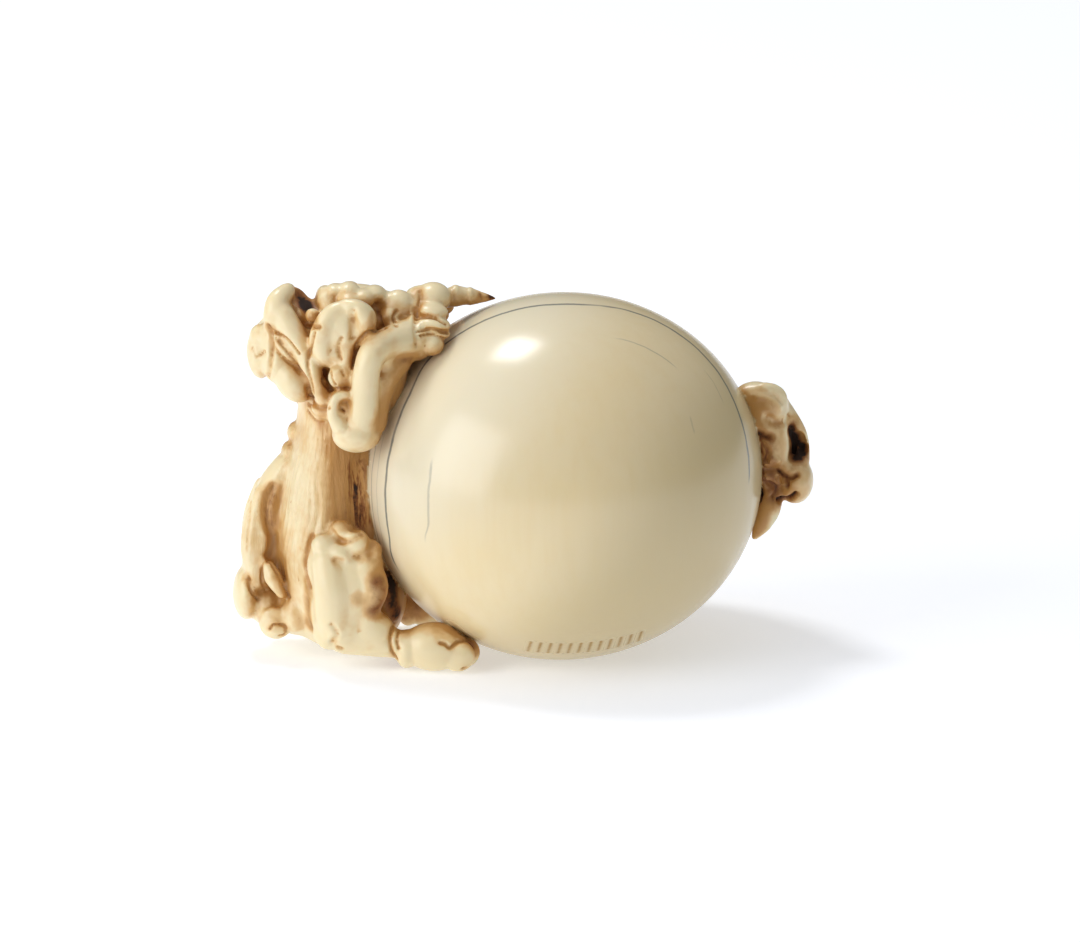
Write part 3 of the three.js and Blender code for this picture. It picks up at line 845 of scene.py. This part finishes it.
@dataclass
class Cub:
    """The cub: its head shows at the ball's right, its body is wrapped round the back."""

    voxel: float = 0.15

    def masses(self, bench: Bench) -> None:
        """Blocks out head, body and hind leg."""
        bench.lump((15.8, 3.6, 1.4), (2.7, 3.6, 4.5))
        bench.lump((16.2, 2.7, 5.0), (2.0, 1.9, 1.7))
        bench.limb([(15.4, 5.2, 1.4), (12, 10.6, -0.6), (7.6, 13.6, -3.8), (5.8, 13.2, -7.6)],
                   [2.9, 2.9, 3.1, 2.8])
        bench.limb([(13.6, 8, 1.6), (10.8, 11.2, 5), (7.2, 12.4, 6.8)], [1.6, 1.4, 1.3])
        bench.limb([(5.8, 13.4, -6.8), (6.6, 11.8, -11), (3.6, 10.2, -12.9)], [2.4, 1.9, 1.6])

    def mouth(self) -> bpy.types.Object:
        """Makes the shape of the open mouth."""
        bench = Bench()
        bench.lump(seen(18.95, 2.4, 0.9), (0.85, 2.4, 1.15), (0, -12, 0))
        bench.lump(seen(19.35, 1.9, 1.2), (0.6, 2.2, 0.62))
        bench.lump(seen(18.4, 3.4, 1.0), (0.42, 1.9, 0.7))
        bench.lump(seen(18.12, 4.5, 1.0), (0.22, 1.6, 0.7), (0, 8, 0))
        return bench.fuse(0.12, 1)

    def features(self, bench: Bench) -> None:
        """Adds ear, jaws, nose, cheek, paws, haunch and curls."""
        bench.limb([(17.15, 3.0, 5.8), (18.05, 3.1, 4.6), (18.85, 3.0, 3.4), (19.3, 2.9, 2.4), (19.3, 2.7, 0.6)],
                   [0.7, 0.55, 0.5, 0.45, 0.6], deep=1.6)
        bench.limb([(17.2, 2.2, 5.4), (17.6, 1.9, 3.8), (17.6, 1.7, 2.2), (17.4, 1.6, 0.8)],
                   [0.7, 0.65, 0.65, 0.7])
        bench.lump((18.7, 2.5, -1.0), (1.5, 2.3, 1.9))
        bench.lump((15.5, 2.5, 5.95), (1.75, 1.3, 1.2))
        bench.lump((17.4, 1.8, -0.4), (1.3, 1.3, 1.5))
        bench.lump((16.6, 1.9, 3.7), (0.9, 0.9, 0.9))
        bench.lump((16.7, 1.6, 1.6), (0.8, 0.9, 1.0))
        bench.limb([(15.0, 2.2, 6.2), (16.2, 1.9, 6.7), (17.4, 2.1, 6.2), (17.7, 2.1, 5.2)],
                   [0.5, 0.55, 0.55, 0.45])
        bench.limb([(16.8, 1.6, -1.8), (16.5, 1.2, -3.2), (15.95, 0.9, -4.35), (15.45, 0.7, -5.25)],
                   [1.0, 1.0, 0.78, 0.32])
        bench.lump((7.4, 13.6, -6), (2.7, 2.6, 3.3))
        for x, y, z in ((5.8, 12.6, 7.6), (5.6, 13.1, 6.6), (5.9, 13.4, 5.6)):
            bench.lump((x, y, z), (1.3, 0.9, 0.55), (0, 10, -20))
        for x, y in ((2.6, 9.2), (2.2, 10.3), (2.8, 11.4)):
            bench.lump((x, y, -13.2), (1.3, 0.7, 1.1))
        bench.curl((4.8, 15.9, -2.6), 1.5, start=200, facing=(0.2, 1, 0))
        bench.curl((7.6, 16.2, -1.2), 1.2, start=90, facing=(0.4, 1, 0.1))
        bench.curl((14.6, 8.4, 4.2), 1.3, start=30, facing=(0.7, 0.7, 0.3))
        bench.curl((13.0, 10.4, 2.6), 1.2, start=80, facing=(0.6, 0.8, 0.1))
        bench.curl((16.2, 6.6, 3.4), 1.2, start=10, facing=(0.9, 0.4, 0.1))

    def build(self) -> bpy.types.Object:
        """Builds the cub.

        Returns:
            Its closed skin.
        """
        bench = Bench()
        self.masses(bench)
        core = bench.fuse(0.25, 6)
        bench.take(core)
        self.features(bench)
        forms = bench.fuse(0.16, 2)
        combine(forms, self.mouth(), "DIFFERENCE")
        bench.take(forms)
        bench.lump((18.1, 4.3, 2.6), (1.15, 1.0, 2.8), (0, -12, 0))
        return bench.fuse(self.voxel, 2)


# ---------------------------------------------------------------- patina


def read_points(piece: bpy.types.Object) -> np.ndarray:
    """Reads a mesh's points as rows."""
    points = np.empty(len(piece.data.vertices) * 3)
    piece.data.vertices.foreach_get("co", points)
    return points.reshape(-1, 3)


def read_normals(piece: bpy.types.Object) -> np.ndarray:
    """Reads a mesh's point normals as rows."""
    normals = np.empty(len(piece.data.vertices) * 3)
    piece.data.vertex_normals.foreach_get("vector", normals)
    return normals.reshape(-1, 3)


def ramp(values: np.ndarray, low: float, high: float) -> np.ndarray:
    """Turns values to a smooth 0 to 1 between low and high."""
    part = np.clip((values - low) / (high - low), 0, 1)
    return part * part * (3 - 2 * part)


@dataclass
class Patina:
    """Where dye and handling have darkened the ivory: creases, cut lines and sheltered places."""

    rays: int = 20
    reach: float = 7.0
    scales: tuple[tuple[int, float, float], ...] = ((2, 0.010, 0.045), (8, 0.025, 0.13), (30, 0.06, 0.36))

    def hollows(self, piece: bpy.types.Object) -> np.ndarray:
        """Measures how deep each point lies in a crease, at a few scales.

        Args:
            piece: the mesh, in millimetres.

        Returns:
            One 0 to 1 value for each point.
        """
        points, normals = read_points(piece), read_normals(piece)
        edges = np.empty(len(piece.data.edges) * 2, dtype=np.int64)
        piece.data.edges.foreach_get("vertices", edges)
        one, two = edges.reshape(-1, 2).T
        ways = np.bincount(one, minlength=len(points)) + np.bincount(two, minlength=len(points))
        ways = np.maximum(ways, 1)[:, None]
        smooth = points.copy()
        done = 0
        result = np.zeros(len(points))
        for rounds, low, high in self.scales:
            for _ in range(rounds - done):
                total = np.zeros_like(smooth)
                for axis in range(3):
                    total[:, axis] = (np.bincount(one, smooth[two, axis], len(points))
                                      + np.bincount(two, smooth[one, axis], len(points)))
                smooth = 0.5 * smooth + 0.5 * total / ways
            done = rounds
            result = np.maximum(result, ramp(((smooth - points) * normals).sum(1), low, high))
        return result

    def shelter(self, piece: bpy.types.Object, rows: np.ndarray) -> np.ndarray:
        """Measures how much of the sky each point can't see.

        Args:
            piece: the mesh, in millimetres.
            rows: the points to measure; the rest are left at 0.

        Returns:
            One 0 to 1 value for each point.
        """
        points, normals = read_points(piece), read_normals(piece)
        tree = BVHTree.FromPolygons([tuple(p) for p in points], [tuple(f.vertices) for f in piece.data.polygons])
        turns = [math.pi * (3 - math.sqrt(5)) * i for i in range(self.rays)]
        flat = [math.sqrt((i + 0.5) / self.rays) for i in range(self.rays)]
        ways = [(f * math.cos(t), f * math.sin(t), math.sqrt(1 - f * f)) for f, t in zip(flat, turns)]
        closed = np.zeros(len(points))
        for row in rows:
            out = Vector(normals[row])
            across = out.orthogonal().normalized()
            up = out.cross(across)
            start = Vector(points[row]) + out * 0.05
            hits = 0
            for a, b, c in ways:
                gap = tree.ray_cast(start, across * a + up * b + out * c, self.reach)[3]
                if gap is not None:
                    hits += 1 - 0.5 * gap / self.reach
            closed[row] = hits / self.rays
        return closed

    def write(self, piece: bpy.types.Object, name: str, values: np.ndarray) -> None:
        """Stores one value for each point as an attribute the finish reads."""
        attribute = piece.data.attributes.new(name, "FLOAT", "POINT")
        attribute.data.foreach_set("value", values.astype(np.float32))


# ---------------------------------------------------------------- finishes


class Nodes:
    """One material's node tree, with one small way to add to it."""

    def __init__(self, name: str) -> None:
        """Makes an empty material.

        Args:
            name: its name.
        """
        self.material = bpy.data.materials.new(name)
        self.material.use_nodes = True
        self.tree = self.material.node_tree
        self.tree.nodes.clear()

    def add(self, kind: str, inputs: dict[str | int, object] | None = None, out: str | int = 0,
            **settings: object) -> bpy.types.NodeSocket:
        """Adds a node.

        Args:
            kind: the node type's name after ShaderNode.
            inputs: values or sockets, by input name or number.
            out: which of its outputs to return.
            settings: its properties.

        Returns:
            One of the node's outputs.
        """
        node = self.tree.nodes.new("ShaderNode" + kind)
        for key, value in settings.items():
            setattr(node, key, value)
        for key, value in (inputs or {}).items():
            if isinstance(value, bpy.types.NodeSocket):
                self.tree.links.new(value, node.inputs[key])
            else:
                node.inputs[key].default_value = value
        return node.outputs[out] if len(node.outputs) else node.inputs[0]

    def blend(self, share: object, one: object, two: object) -> bpy.types.NodeSocket:
        """Mixes two colours by a share from 0 to 1."""
        return self.add("Mix", {0: share, 6: one, 7: two}, 2, data_type="RGBA")

    def math(self, action: str, one: object, two: object = 0.0, three: object = 0.0) -> bpy.types.NodeSocket:
        """Works out one number from others."""
        return self.add("Math", {0: one, 1: two, 2: three}, operation=action)

    def curve(self, value: object, knots: list[Spot]) -> bpy.types.NodeSocket:
        """Reads a smooth curve through knots, all from 0 to 1."""
        node = self.add("FloatCurve", {"Value": value}).node
        points = node.mapping.curves[0].points
        points[0].location, points[1].location = knots[0], knots[-1]
        for knot in knots[1:-1]:
            points.new(*knot)
        node.mapping.update()
        return node.outputs[0]

    def between(self, value: object, low: float, high: float, start: float = 0.0,
                end: float = 1.0) -> bpy.types.NodeSocket:
        """Runs a value smoothly from start to end as it goes from low to high."""
        return self.add("MapRange", {0: value, 1: low, 2: high, 3: start, 4: end},
                        interpolation_type="SMOOTHSTEP")


@dataclass(frozen=True)
class Crack:
    """A hairline crack that runs beside the ball's old crack ring, in degrees about the ring's middle."""

    offset: float
    start: float
    end: float
    width: float
    strength: float
    slant: float = 0.0


@dataclass(frozen=True)
class AgedIvory:
    """Elephant ivory, carved, dyed in its creases with tea-brown stain, and polished by long handling; the ball also
    has a painted sheen and painted shade, and the cub some painted shade.
    """

    centre: Vec
    ball_radii: Vec
    ball_tilt: float
    polished: str = "#EAD8AE"
    # Painted sheen for the ball's upper left, and painted shade for its lower right.
    painted_sheen: str = "#E9E0C6"
    painted_shade: str = "#CFBD91"
    cream: str = "#F2E1B7"
    honey: str = "#E6C58E"
    amber: str = "#C49252"
    dye: str = "#8A5424"
    ochre: str = "#AC8542"
    pitch: str = "#2A1709"
    hairline: str = "#70746F"
    crack_axis: Vec = (0.092, -0.960, 0.263)
    crack_ring: tuple[Spot, ...] = (
        (-180, 66.3), (-173, 68.0), (-166, 70.3), (-154, 76.8), (-10, 64.5), (12, 65.3), (33, 69.0),
        (50, 70.6), (65, 70.0), (82, 67.8), (98, 69.0), (118, 70.2), (132, 70.0), (146, 65.4),
        (160, 64.3), (174, 65.2), (180, 66.3))
    cracks: tuple[Crack, ...] = (
        Crack(0.0, -10, 208, 0.24, 0.85), Crack(10.5, 150, 204, 0.16, 0.40), Crack(6.0, 158, 200, 0.12, 0.22),
        Crack(-20.6, 166, 202, 0.17, 0.36, -1.9), Crack(-19.5, 41, 70, 0.11, 0.38), Crack(-8.0, 20, 36, 0.09, 0.25),
        Crack(-26.0, 14, 24, 0.12, 0.20))

    def build(self) -> bpy.types.Material:
        """Makes the material.

        Returns:
            The finished material.
        """
        n = Nodes("stained_polished_ivory")
        place = n.add("TexCoord", out="Object")
        local = n.add("VectorMath", {0: place, 1: self.centre}, operation="SUBTRACT")
        millimetres = n.add("VectorMath", {0: local, "Scale": 1 / MM}, operation="SCALE")
        # The stain attribute holds the dye and, on the cub, painted shade.
        stain = n.add("Attribute", out="Fac", attribute_name="stain")
        shelter = n.add("Attribute", out="Fac", attribute_name="shelter")
        fur = n.add("Attribute", out="Fac", attribute_name="fur")
        ball = n.add("Attribute", out="Fac", attribute_name="ball")

        patches = n.add("TexNoise", {"Vector": millimetres, "Scale": 0.35, "Detail": 3.0, "Roughness": 0.6})
        mottle = n.add("TexNoise", {"Vector": millimetres, "Scale": 1.6, "Detail": 4.0, "Roughness": 0.65})
        drawn = n.add("Mapping", {"Vector": millimetres, "Scale": (2.6, 2.6, 0.22)})
        strands = n.add("TexNoise", {"Vector": drawn, "Scale": 1.0, "Detail": 3.0, "Roughness": 0.7})

        warm = n.math("MULTIPLY_ADD", shelter, 2.2, n.math("MULTIPLY_ADD", patches, 1.7, -0.92))
        warm = n.math("MULTIPLY_ADD", n.between(stain, 0.0, 0.4), 0.8, warm)
        warm = n.math("MULTIPLY_ADD", fur, n.math("MULTIPLY_ADD", strands, 0.45, 0.0), warm)
        carved = n.blend(n.between(warm, 0.0, 0.6), srgb(self.cream), srgb(self.honey))
        carved = n.blend(n.between(warm, 0.45, 1.25), carved, srgb(self.amber))
        streak = n.math("MULTIPLY", fur, n.between(strands, 0.52, 0.78, 0.0, 0.34))
        dark = n.math("MAXIMUM", stain, streak)
        combed = n.math("MULTIPLY", n.math("MULTIPLY", fur, 0.6), n.between(strands, 0.35, 0.6, 1.0, 0.0))
        dark = n.math("MULTIPLY", dark, n.math("SUBTRACT", 1.0, combed))
        dark = n.math("MULTIPLY", dark, n.between(n.math("MULTIPLY_ADD", mottle, 0.35, n.math("MULTIPLY", patches, 0.65)), 0.38, 0.62, 0.75, 1.15))
        carved = n.blend(n.between(dark, 0.32, 0.92), carved, srgb(self.dye))
        carved = n.blend(n.between(dark, 0.80, 1.15), carved, srgb(self.pitch))

        polished = n.blend(n.between(stain, 0.15, 0.85), self.ball_colour(n, millimetres), srgb(self.ochre))
        surface = n.blend(ball, carved, polished)
        bump_height = n.math("MULTIPLY", n.math("MULTIPLY", strands, fur), 0.25)
        bump = n.add("Bump", {"Height": bump_height, "Strength": 0.6, "Distance": 0.6 * MM})
        rough = n.math("MULTIPLY_ADD", stain, 0.30, 0.28)
        rough = n.math("MULTIPLY_ADD", ball, -0.06, rough)
        rough = n.math("ADD", rough, n.between(stain, 0.6, 1.0, 0.0, 0.3))
        shader = n.add("BsdfPrincipled", {
            "Base Color": surface, "Roughness": rough, "IOR": 1.54, "Normal": bump,
            "Subsurface Weight": 0.2, "Subsurface Radius": (1.0, 0.7, 0.4), "Subsurface Scale": 0.8 * MM})
        n.add("OutputMaterial", {"Surface": shader})
        return n.material

    def ball_colour(self, n: Nodes, place: bpy.types.NodeSocket) -> bpy.types.NodeSocket:
        """Colours the ball: faint upright grain, growth lines, a few old hairline cracks, and a painted sheen on its
        upper left with painted shade on its lower right.

        Args:
            n: the material's nodes.
            place: millimetres about the ball's centre.

        Returns:
            The ball's colour.
        """
        grain = n.add("Mapping", {"Vector": place, "Scale": (0.9, 0.9, 0.05)})
        grain = n.add("TexNoise", {"Vector": grain, "Scale": 1.0, "Detail": 4.0, "Roughness": 0.6})
        colour = n.blend(n.between(grain, 0.35, 0.75, 0.0, 0.35), srgb(self.polished), srgb("#E6CF9C"))
        clouds = n.add("TexNoise", {"Vector": place, "Scale": 0.12, "Detail": 2.0})
        colour = n.blend(n.between(clouds, 0.4, 0.7, 0.0, 0.3), colour, srgb("#EAD5A4"))

        tilt = math.radians(self.ball_tilt)
        squared = n.add("VectorRotate", {"Vector": place, "Axis": (0, 1, 0), "Angle": tilt},
                        rotation_type="AXIS_ANGLE")
        round_place = n.add("VectorMath", {0: squared, 1: tuple(1 / r for r in self.ball_radii)},
                            operation="MULTIPLY")
        unit = n.add("VectorMath", {0: round_place}, operation="NORMALIZE")
        # Painted sheen and painted shade: the ball is painted paler on its upper left, toward the lamps, and darker on
        # its lower right, turned away from them.
        facing = n.add("VectorMath", {0: unit, 1: (-0.75, 0.0, 0.66)}, 1, operation="DOT_PRODUCT")
        colour = n.blend(n.between(facing, 0.2, 0.75, 0.0, 0.8), colour, srgb(self.painted_sheen))
        colour = n.blend(n.between(facing, 0.05, -0.5, 0.0, 0.8), colour, srgb(self.painted_shade))
        wobble = n.add("TexNoise", {"Vector": place, "Scale": 0.6, "Detail": 3.0})
        axis = Vector(self.crack_axis).normalized()
        side = Vector((0, 0, 1)).cross(axis).normalized()
        rise = axis.cross(side)
        along, sideways, upward = (
            n.add("VectorMath", {0: unit, 1: tuple(way)}, 1, operation="DOT_PRODUCT") for way in (axis, side, rise))
        spread = n.math("MULTIPLY_ADD", n.math("SUBTRACT", wobble, 0.5), 0.02, n.math("ARCCOSINE", along))
        bearing = n.math("ARCTAN2", upward, sideways)
        ring = n.curve(n.math("MULTIPLY_ADD", bearing, 0.5 / math.pi, 0.5),
                       [(0.5 + turn / 360, reach / 90) for turn, reach in self.crack_ring])
        off_ring = n.math("SUBTRACT", spread, n.math("MULTIPLY", ring, math.pi / 2))
        fade = n.add("TexNoise", {"Vector": place, "Scale": 0.3, "Detail": 3.0})
        for crack in self.cracks:
            width = crack.width / self.ball_radii[1]
            middle = math.radians((crack.start + crack.end) / 2)
            half = math.radians((crack.end - crack.start) / 2)
            turned = n.math("WRAP", n.math("SUBTRACT", bearing, middle), math.pi, -math.pi)
            line_at = n.math("MULTIPLY_ADD", turned, math.radians(crack.slant) / (2 * half), math.radians(crack.offset))
            gap = n.math("ABSOLUTE", n.math("SUBTRACT", off_ring, line_at))
            share = n.between(gap, 0.3 * width, width, crack.strength, 0.0)
            inside = n.between(n.math("ABSOLUTE", turned), half - min(0.1, half * 0.5), half, 1.0, 0.0)
            share = n.math("MULTIPLY", share, inside)
            share = n.math("MULTIPLY", share, n.between(fade, 0.25, 0.5, 0.55, 1.0))
            colour = n.blend(share, colour, srgb(self.hairline))
        return colour


# ---------------------------------------------------------------- the whole


@dataclass
class Netsuke:
    """The whole carving: lion-dog, cub and ball, all one block of ivory."""

    ball: Ball = field(default_factory=Ball)
    lion: Lion = field(default_factory=Lion)
    cub: Cub = field(default_factory=Cub)
    patina: Patina = field(default_factory=Patina)

    def carve(self, piece: bpy.types.Object, marks: tuple[Mark, ...], sides: tuple[Side, ...]) -> list:
        """Cuts lines into a figure.

        Args:
            piece: the figure.
            marks: its lines.
            sides: the faces they are cut on.

        Returns:
            Each line laid on the skin, with its mark.
        """
        chisel = Chisel(piece)
        traced = [(mark, chisel.trace(mark, side)) for side in sides for mark in marks]
        for mark, path in traced:
            chisel.cut(path, mark.width, mark.depth)
        chisel.finish()
        return [(mark, chisel.bed(path, mark.depth)) for mark, path in traced]

    def build(self) -> bpy.types.Object:
        """Carves the whole and works out its patina, with some painted shade on the cub.

        Returns:
            The one piece, in millimetres about the ball's centre.
        """
        lines = []
        figure = self.lion.build()
        marks = FACE_MARKS + LEG_MARKS + TAIL_MARKS
        lines += self.carve(figure, marks, (Side.FRONT, Side.BACK))
        lines += self.carve(figure, PAW_MARKS, (Side.FRONT,))
        self.fur(figure)
        log.info("lion: %d faces", len(figure.data.polygons))
        cub = self.cub.build()
        lines += self.carve(cub, CUB_MARKS, (Side.FRONT,))
        log.info("cub: %d faces", len(cub.data.polygons))
        combine(figure, cub, "UNION")
        apply_modifier(figure, "DECIMATE", ratio=min(1.0, 130000 / (2 * len(figure.data.polygons))))
        body = self.ball.body()
        lines += self.ball.sign(body)
        combine(body, self.ball.tunnel(), "DIFFERENCE")
        combine(figure, body, "UNION")
        combine(figure, self.ball.slab(), "DIFFERENCE")
        apply_modifier(figure, "TRIANGULATE")
        figure = drop_crumbs(figure)
        log.info("netsuke: %d faces", len(figure.data.polygons))

        points = read_points(figure)
        tilt = math.radians(self.ball.tilt)
        turned = points.copy()
        turned[:, 0] = points[:, 0] * math.cos(tilt) + points[:, 2] * math.sin(tilt)
        turned[:, 2] = -points[:, 0] * math.sin(tilt) + points[:, 2] * math.cos(tilt)
        on_ball = np.abs(np.linalg.norm(turned / np.array(self.ball.radii), axis=1) - 1) < 0.004
        stain = np.zeros(len(points))
        # The patches add stain, and on the cub painted shade, to the stain values.
        chisel = Chisel(figure)
        lines += [(mark, chisel.trace(mark, side)) for side in Side for mark in STAIN_AND_SHADE_PATCHES
                  if side is Side.FRONT or mark.path[0][0] < 0]
        for mark, path in lines:
            core = 0.6 * nearness(points, path, mark.width * 1.3)
            halo = 0.4 * nearness(points, path, mark.width * 4.5) if mark.depth else core / 1.5
            stain = np.maximum(stain, (core + halo) * mark.stain)
        hollows = self.patina.hollows(figure)
        fur = np.where(on_ball, 0, self.fur_share(points))
        crease = np.where(on_ball, 0.5 * hollows, 0.52 * hollows * (1 - 0.7 * fur))
        stain = np.maximum(np.where(on_ball & (points[:, 2] > -10), 0, stain), crease)
        rows = np.flatnonzero(~on_ball)
        shelter = self.patina.shelter(figure, rows)
        # The stain attribute also carries the cub's painted shade.
        self.patina.write(figure, "stain", stain)
        self.patina.write(figure, "shelter", shelter)
        self.patina.write(figure, "fur", fur)
        self.patina.write(figure, "ball", on_ball.astype(float))
        figure.name = "ivory_netsuke"
        return figure

    def fur_share(self, points: np.ndarray) -> np.ndarray:
        """Says where the body is cut with fine fur: the trunk and the tail."""
        x, y, z = points.T
        trunk = ramp(x, -23.5, -22) * ramp(-x, 14, 15.4) * ramp(z, -9, -6) * ramp(-z, -6.2, -4.2)
        trunk *= ramp(-np.abs(y), -7, -5.6)
        tail = ramp(-x, 22.4, 23.4) * ramp(-z, -1, 0.5) * ramp(z, -9.5, -7) * 0.7
        return np.maximum(trunk, tail)

    def fur(self, piece: bpy.types.Object) -> None:
        """Cuts fine upright fur lines into the trunk and tail, about two to the millimetre."""
        points, normals = read_points(piece), read_normals(piece)
        share = self.fur_share(points)
        moved = np.zeros(len(points))
        for row in np.flatnonzero(share > 0.01):
            x, y, z = points[row]
            bearing = math.atan2(y, x + 17.0) * 4.6
            drift = 1.1 * noise.noise(Vector((x * 0.35, y * 0.35, z * 0.25)))
            wave = abs(math.sin(math.pi * (bearing + drift) / 0.52))
            broken = 0.35 + 0.65 * min(1, max(0, 1.4 * noise.noise(Vector((bearing * 2.1, z * 0.35, 3.1))) + 0.6))
            moved[row] = 0.07 * share[row] * (1 - wave) ** 1.2 * broken
        points -= normals * moved[:, None]
        piece.data.vertices.foreach_set("co", points.ravel())
        piece.data.update()

    def place(self, piece: bpy.types.Object, centre: Vector) -> None:
        """Turns millimetres about the ball's centre to metres in the frame, in the mesh itself."""
        points = read_points(piece) * MM + np.array(centre)
        piece.data.vertices.foreach_set("co", points.ravel())
        piece.data.update()
        pick(piece)
        bpy.ops.object.shade_smooth_by_angle(angle=math.radians(60))

    def dress(self, piece: bpy.types.Object, centre: Vector) -> None:
        """Gives the carving its finish and its place in the frame's table."""
        finish = AgedIvory(tuple(centre), self.ball.radii, self.ball.tilt)
        piece.data.materials.clear()
        piece.data.materials.append(finish.build())
        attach(piece, "root")
        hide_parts("netsuke")


# ---------------------------------------------------------------- the studio


@dataclass
class Studio:
    """A white table under soft boxes, and a camera that looks down on the front a little."""

    lens: float = 500.0
    sensor: float = 36.0
    view_width: float = 86.4
    aim: Vec = (-1.76, 0.0, 0.4)
    horizon: float = 0.03
    zenith: float = 0.62

    def lamp(self, name: str, target: Vector, way: Vec, far: float, size: Spot, power: float) -> None:
        """Hangs a soft box.

        Args:
            name: its name.
            target: what it points at.
            way: the direction it hangs in.
            far: its distance in metres.
            size: its width and height in metres.
            power: its power in watts.
        """
        toward = Vector(way).normalized()
        deselect()
        bpy.ops.object.light_add(type="AREA", location=target + toward * far)
        lamp = bpy.context.object
        lamp.name = name
        lamp.data.shape = "RECTANGLE"
        lamp.data.size, lamp.data.size_y = size
        lamp.data.energy = power
        lamp.rotation_euler = toward.to_track_quat("Z", "Y").to_euler()

    def table(self) -> None:
        """Lays the white table, lit a little from below."""
        deselect()
        bpy.ops.mesh.primitive_plane_add(size=4, location=(0, 0, 0))
        table = bpy.context.object
        table.name = "table"
        n = Nodes("white_acrylic_table")
        paint = n.add("BsdfDiffuse", {"Color": (0.83, 0.855, 0.91, 1)})
        glow = n.add("Emission", {"Color": (0.93, 0.95, 1, 1), "Strength": 0.385})
        both = n.add("AddShader", {0: paint, 1: glow})
        n.add("OutputMaterial", {"Surface": both})
        table.data.materials.append(n.material)
        table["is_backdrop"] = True

    def world(self) -> None:
        """Surrounds the scene with a soft white tent."""
        world = bpy.data.worlds.new("tent")
        world.use_nodes = True
        nodes, links = world.node_tree.nodes, world.node_tree.links
        height = nodes.new("ShaderNodeSeparateXYZ")
        links.new(nodes.new("ShaderNodeTexCoord").outputs["Generated"], height.inputs[0])
        bright = nodes.new("ShaderNodeMapRange")
        links.new(height.outputs[2], bright.inputs[0])
        for index, value in ((1, 0.1), (2, 0.9), (3, self.horizon), (4, self.zenith)):
            bright.inputs[index].default_value = value
        backdrop = nodes["Background"]
        backdrop.inputs[0].default_value = (1, 1, 1, 1)
        links.new(bright.outputs[0], backdrop.inputs[1])
        bpy.context.scene.world = world

    def build(self, centre: Vector) -> None:
        """Sets up table, lights and camera.

        Args:
            centre: the ball's centre, in metres.
        """
        self.table()
        self.world()
        self.lamp("left_box", centre, (-0.86, -0.50, 0.36), 0.5, (0.36, 0.36), 1.28)
        self.lamp("top_box", centre, (-0.30, 0.295, 0.907), 0.45, (0.11, 0.11), 0.62)
        scene = bpy.context.scene
        scene.view_settings.view_transform = "Standard"
        target = centre + Vector(self.aim) * MM
        deselect()
        bpy.ops.object.camera_add()
        camera = bpy.context.object
        camera.data.lens = self.lens
        camera.data.sensor_width = self.sensor
        back = Vector((0, -math.cos(VIEW_RISE), math.sin(VIEW_RISE)))
        camera.location = target + back * (self.view_width * MM * self.lens / self.sensor)
        camera.rotation_euler = back.to_track_quat("Z", "Y").to_euler()
        scene.camera = camera


def main() -> None:
    """Carves the netsuke, dresses it and sets it on its table."""
    logging.basicConfig(level=logging.INFO, format="%(name)s: %(message)s")
    cad_low, cad_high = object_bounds()
    netsuke = Netsuke()
    piece = netsuke.build()
    centre = Vector((cad_low.x + 26.42 * MM, cad_low.y + 14.93 * MM, cad_low.z - netsuke.ball.floor * MM))
    netsuke.place(piece, centre)
    netsuke.dress(piece, centre)
    log.info("%s: %d triangles", piece.name, len(piece.data.polygons))
    Studio().build(centre)


if __name__ == "__main__":
    main()
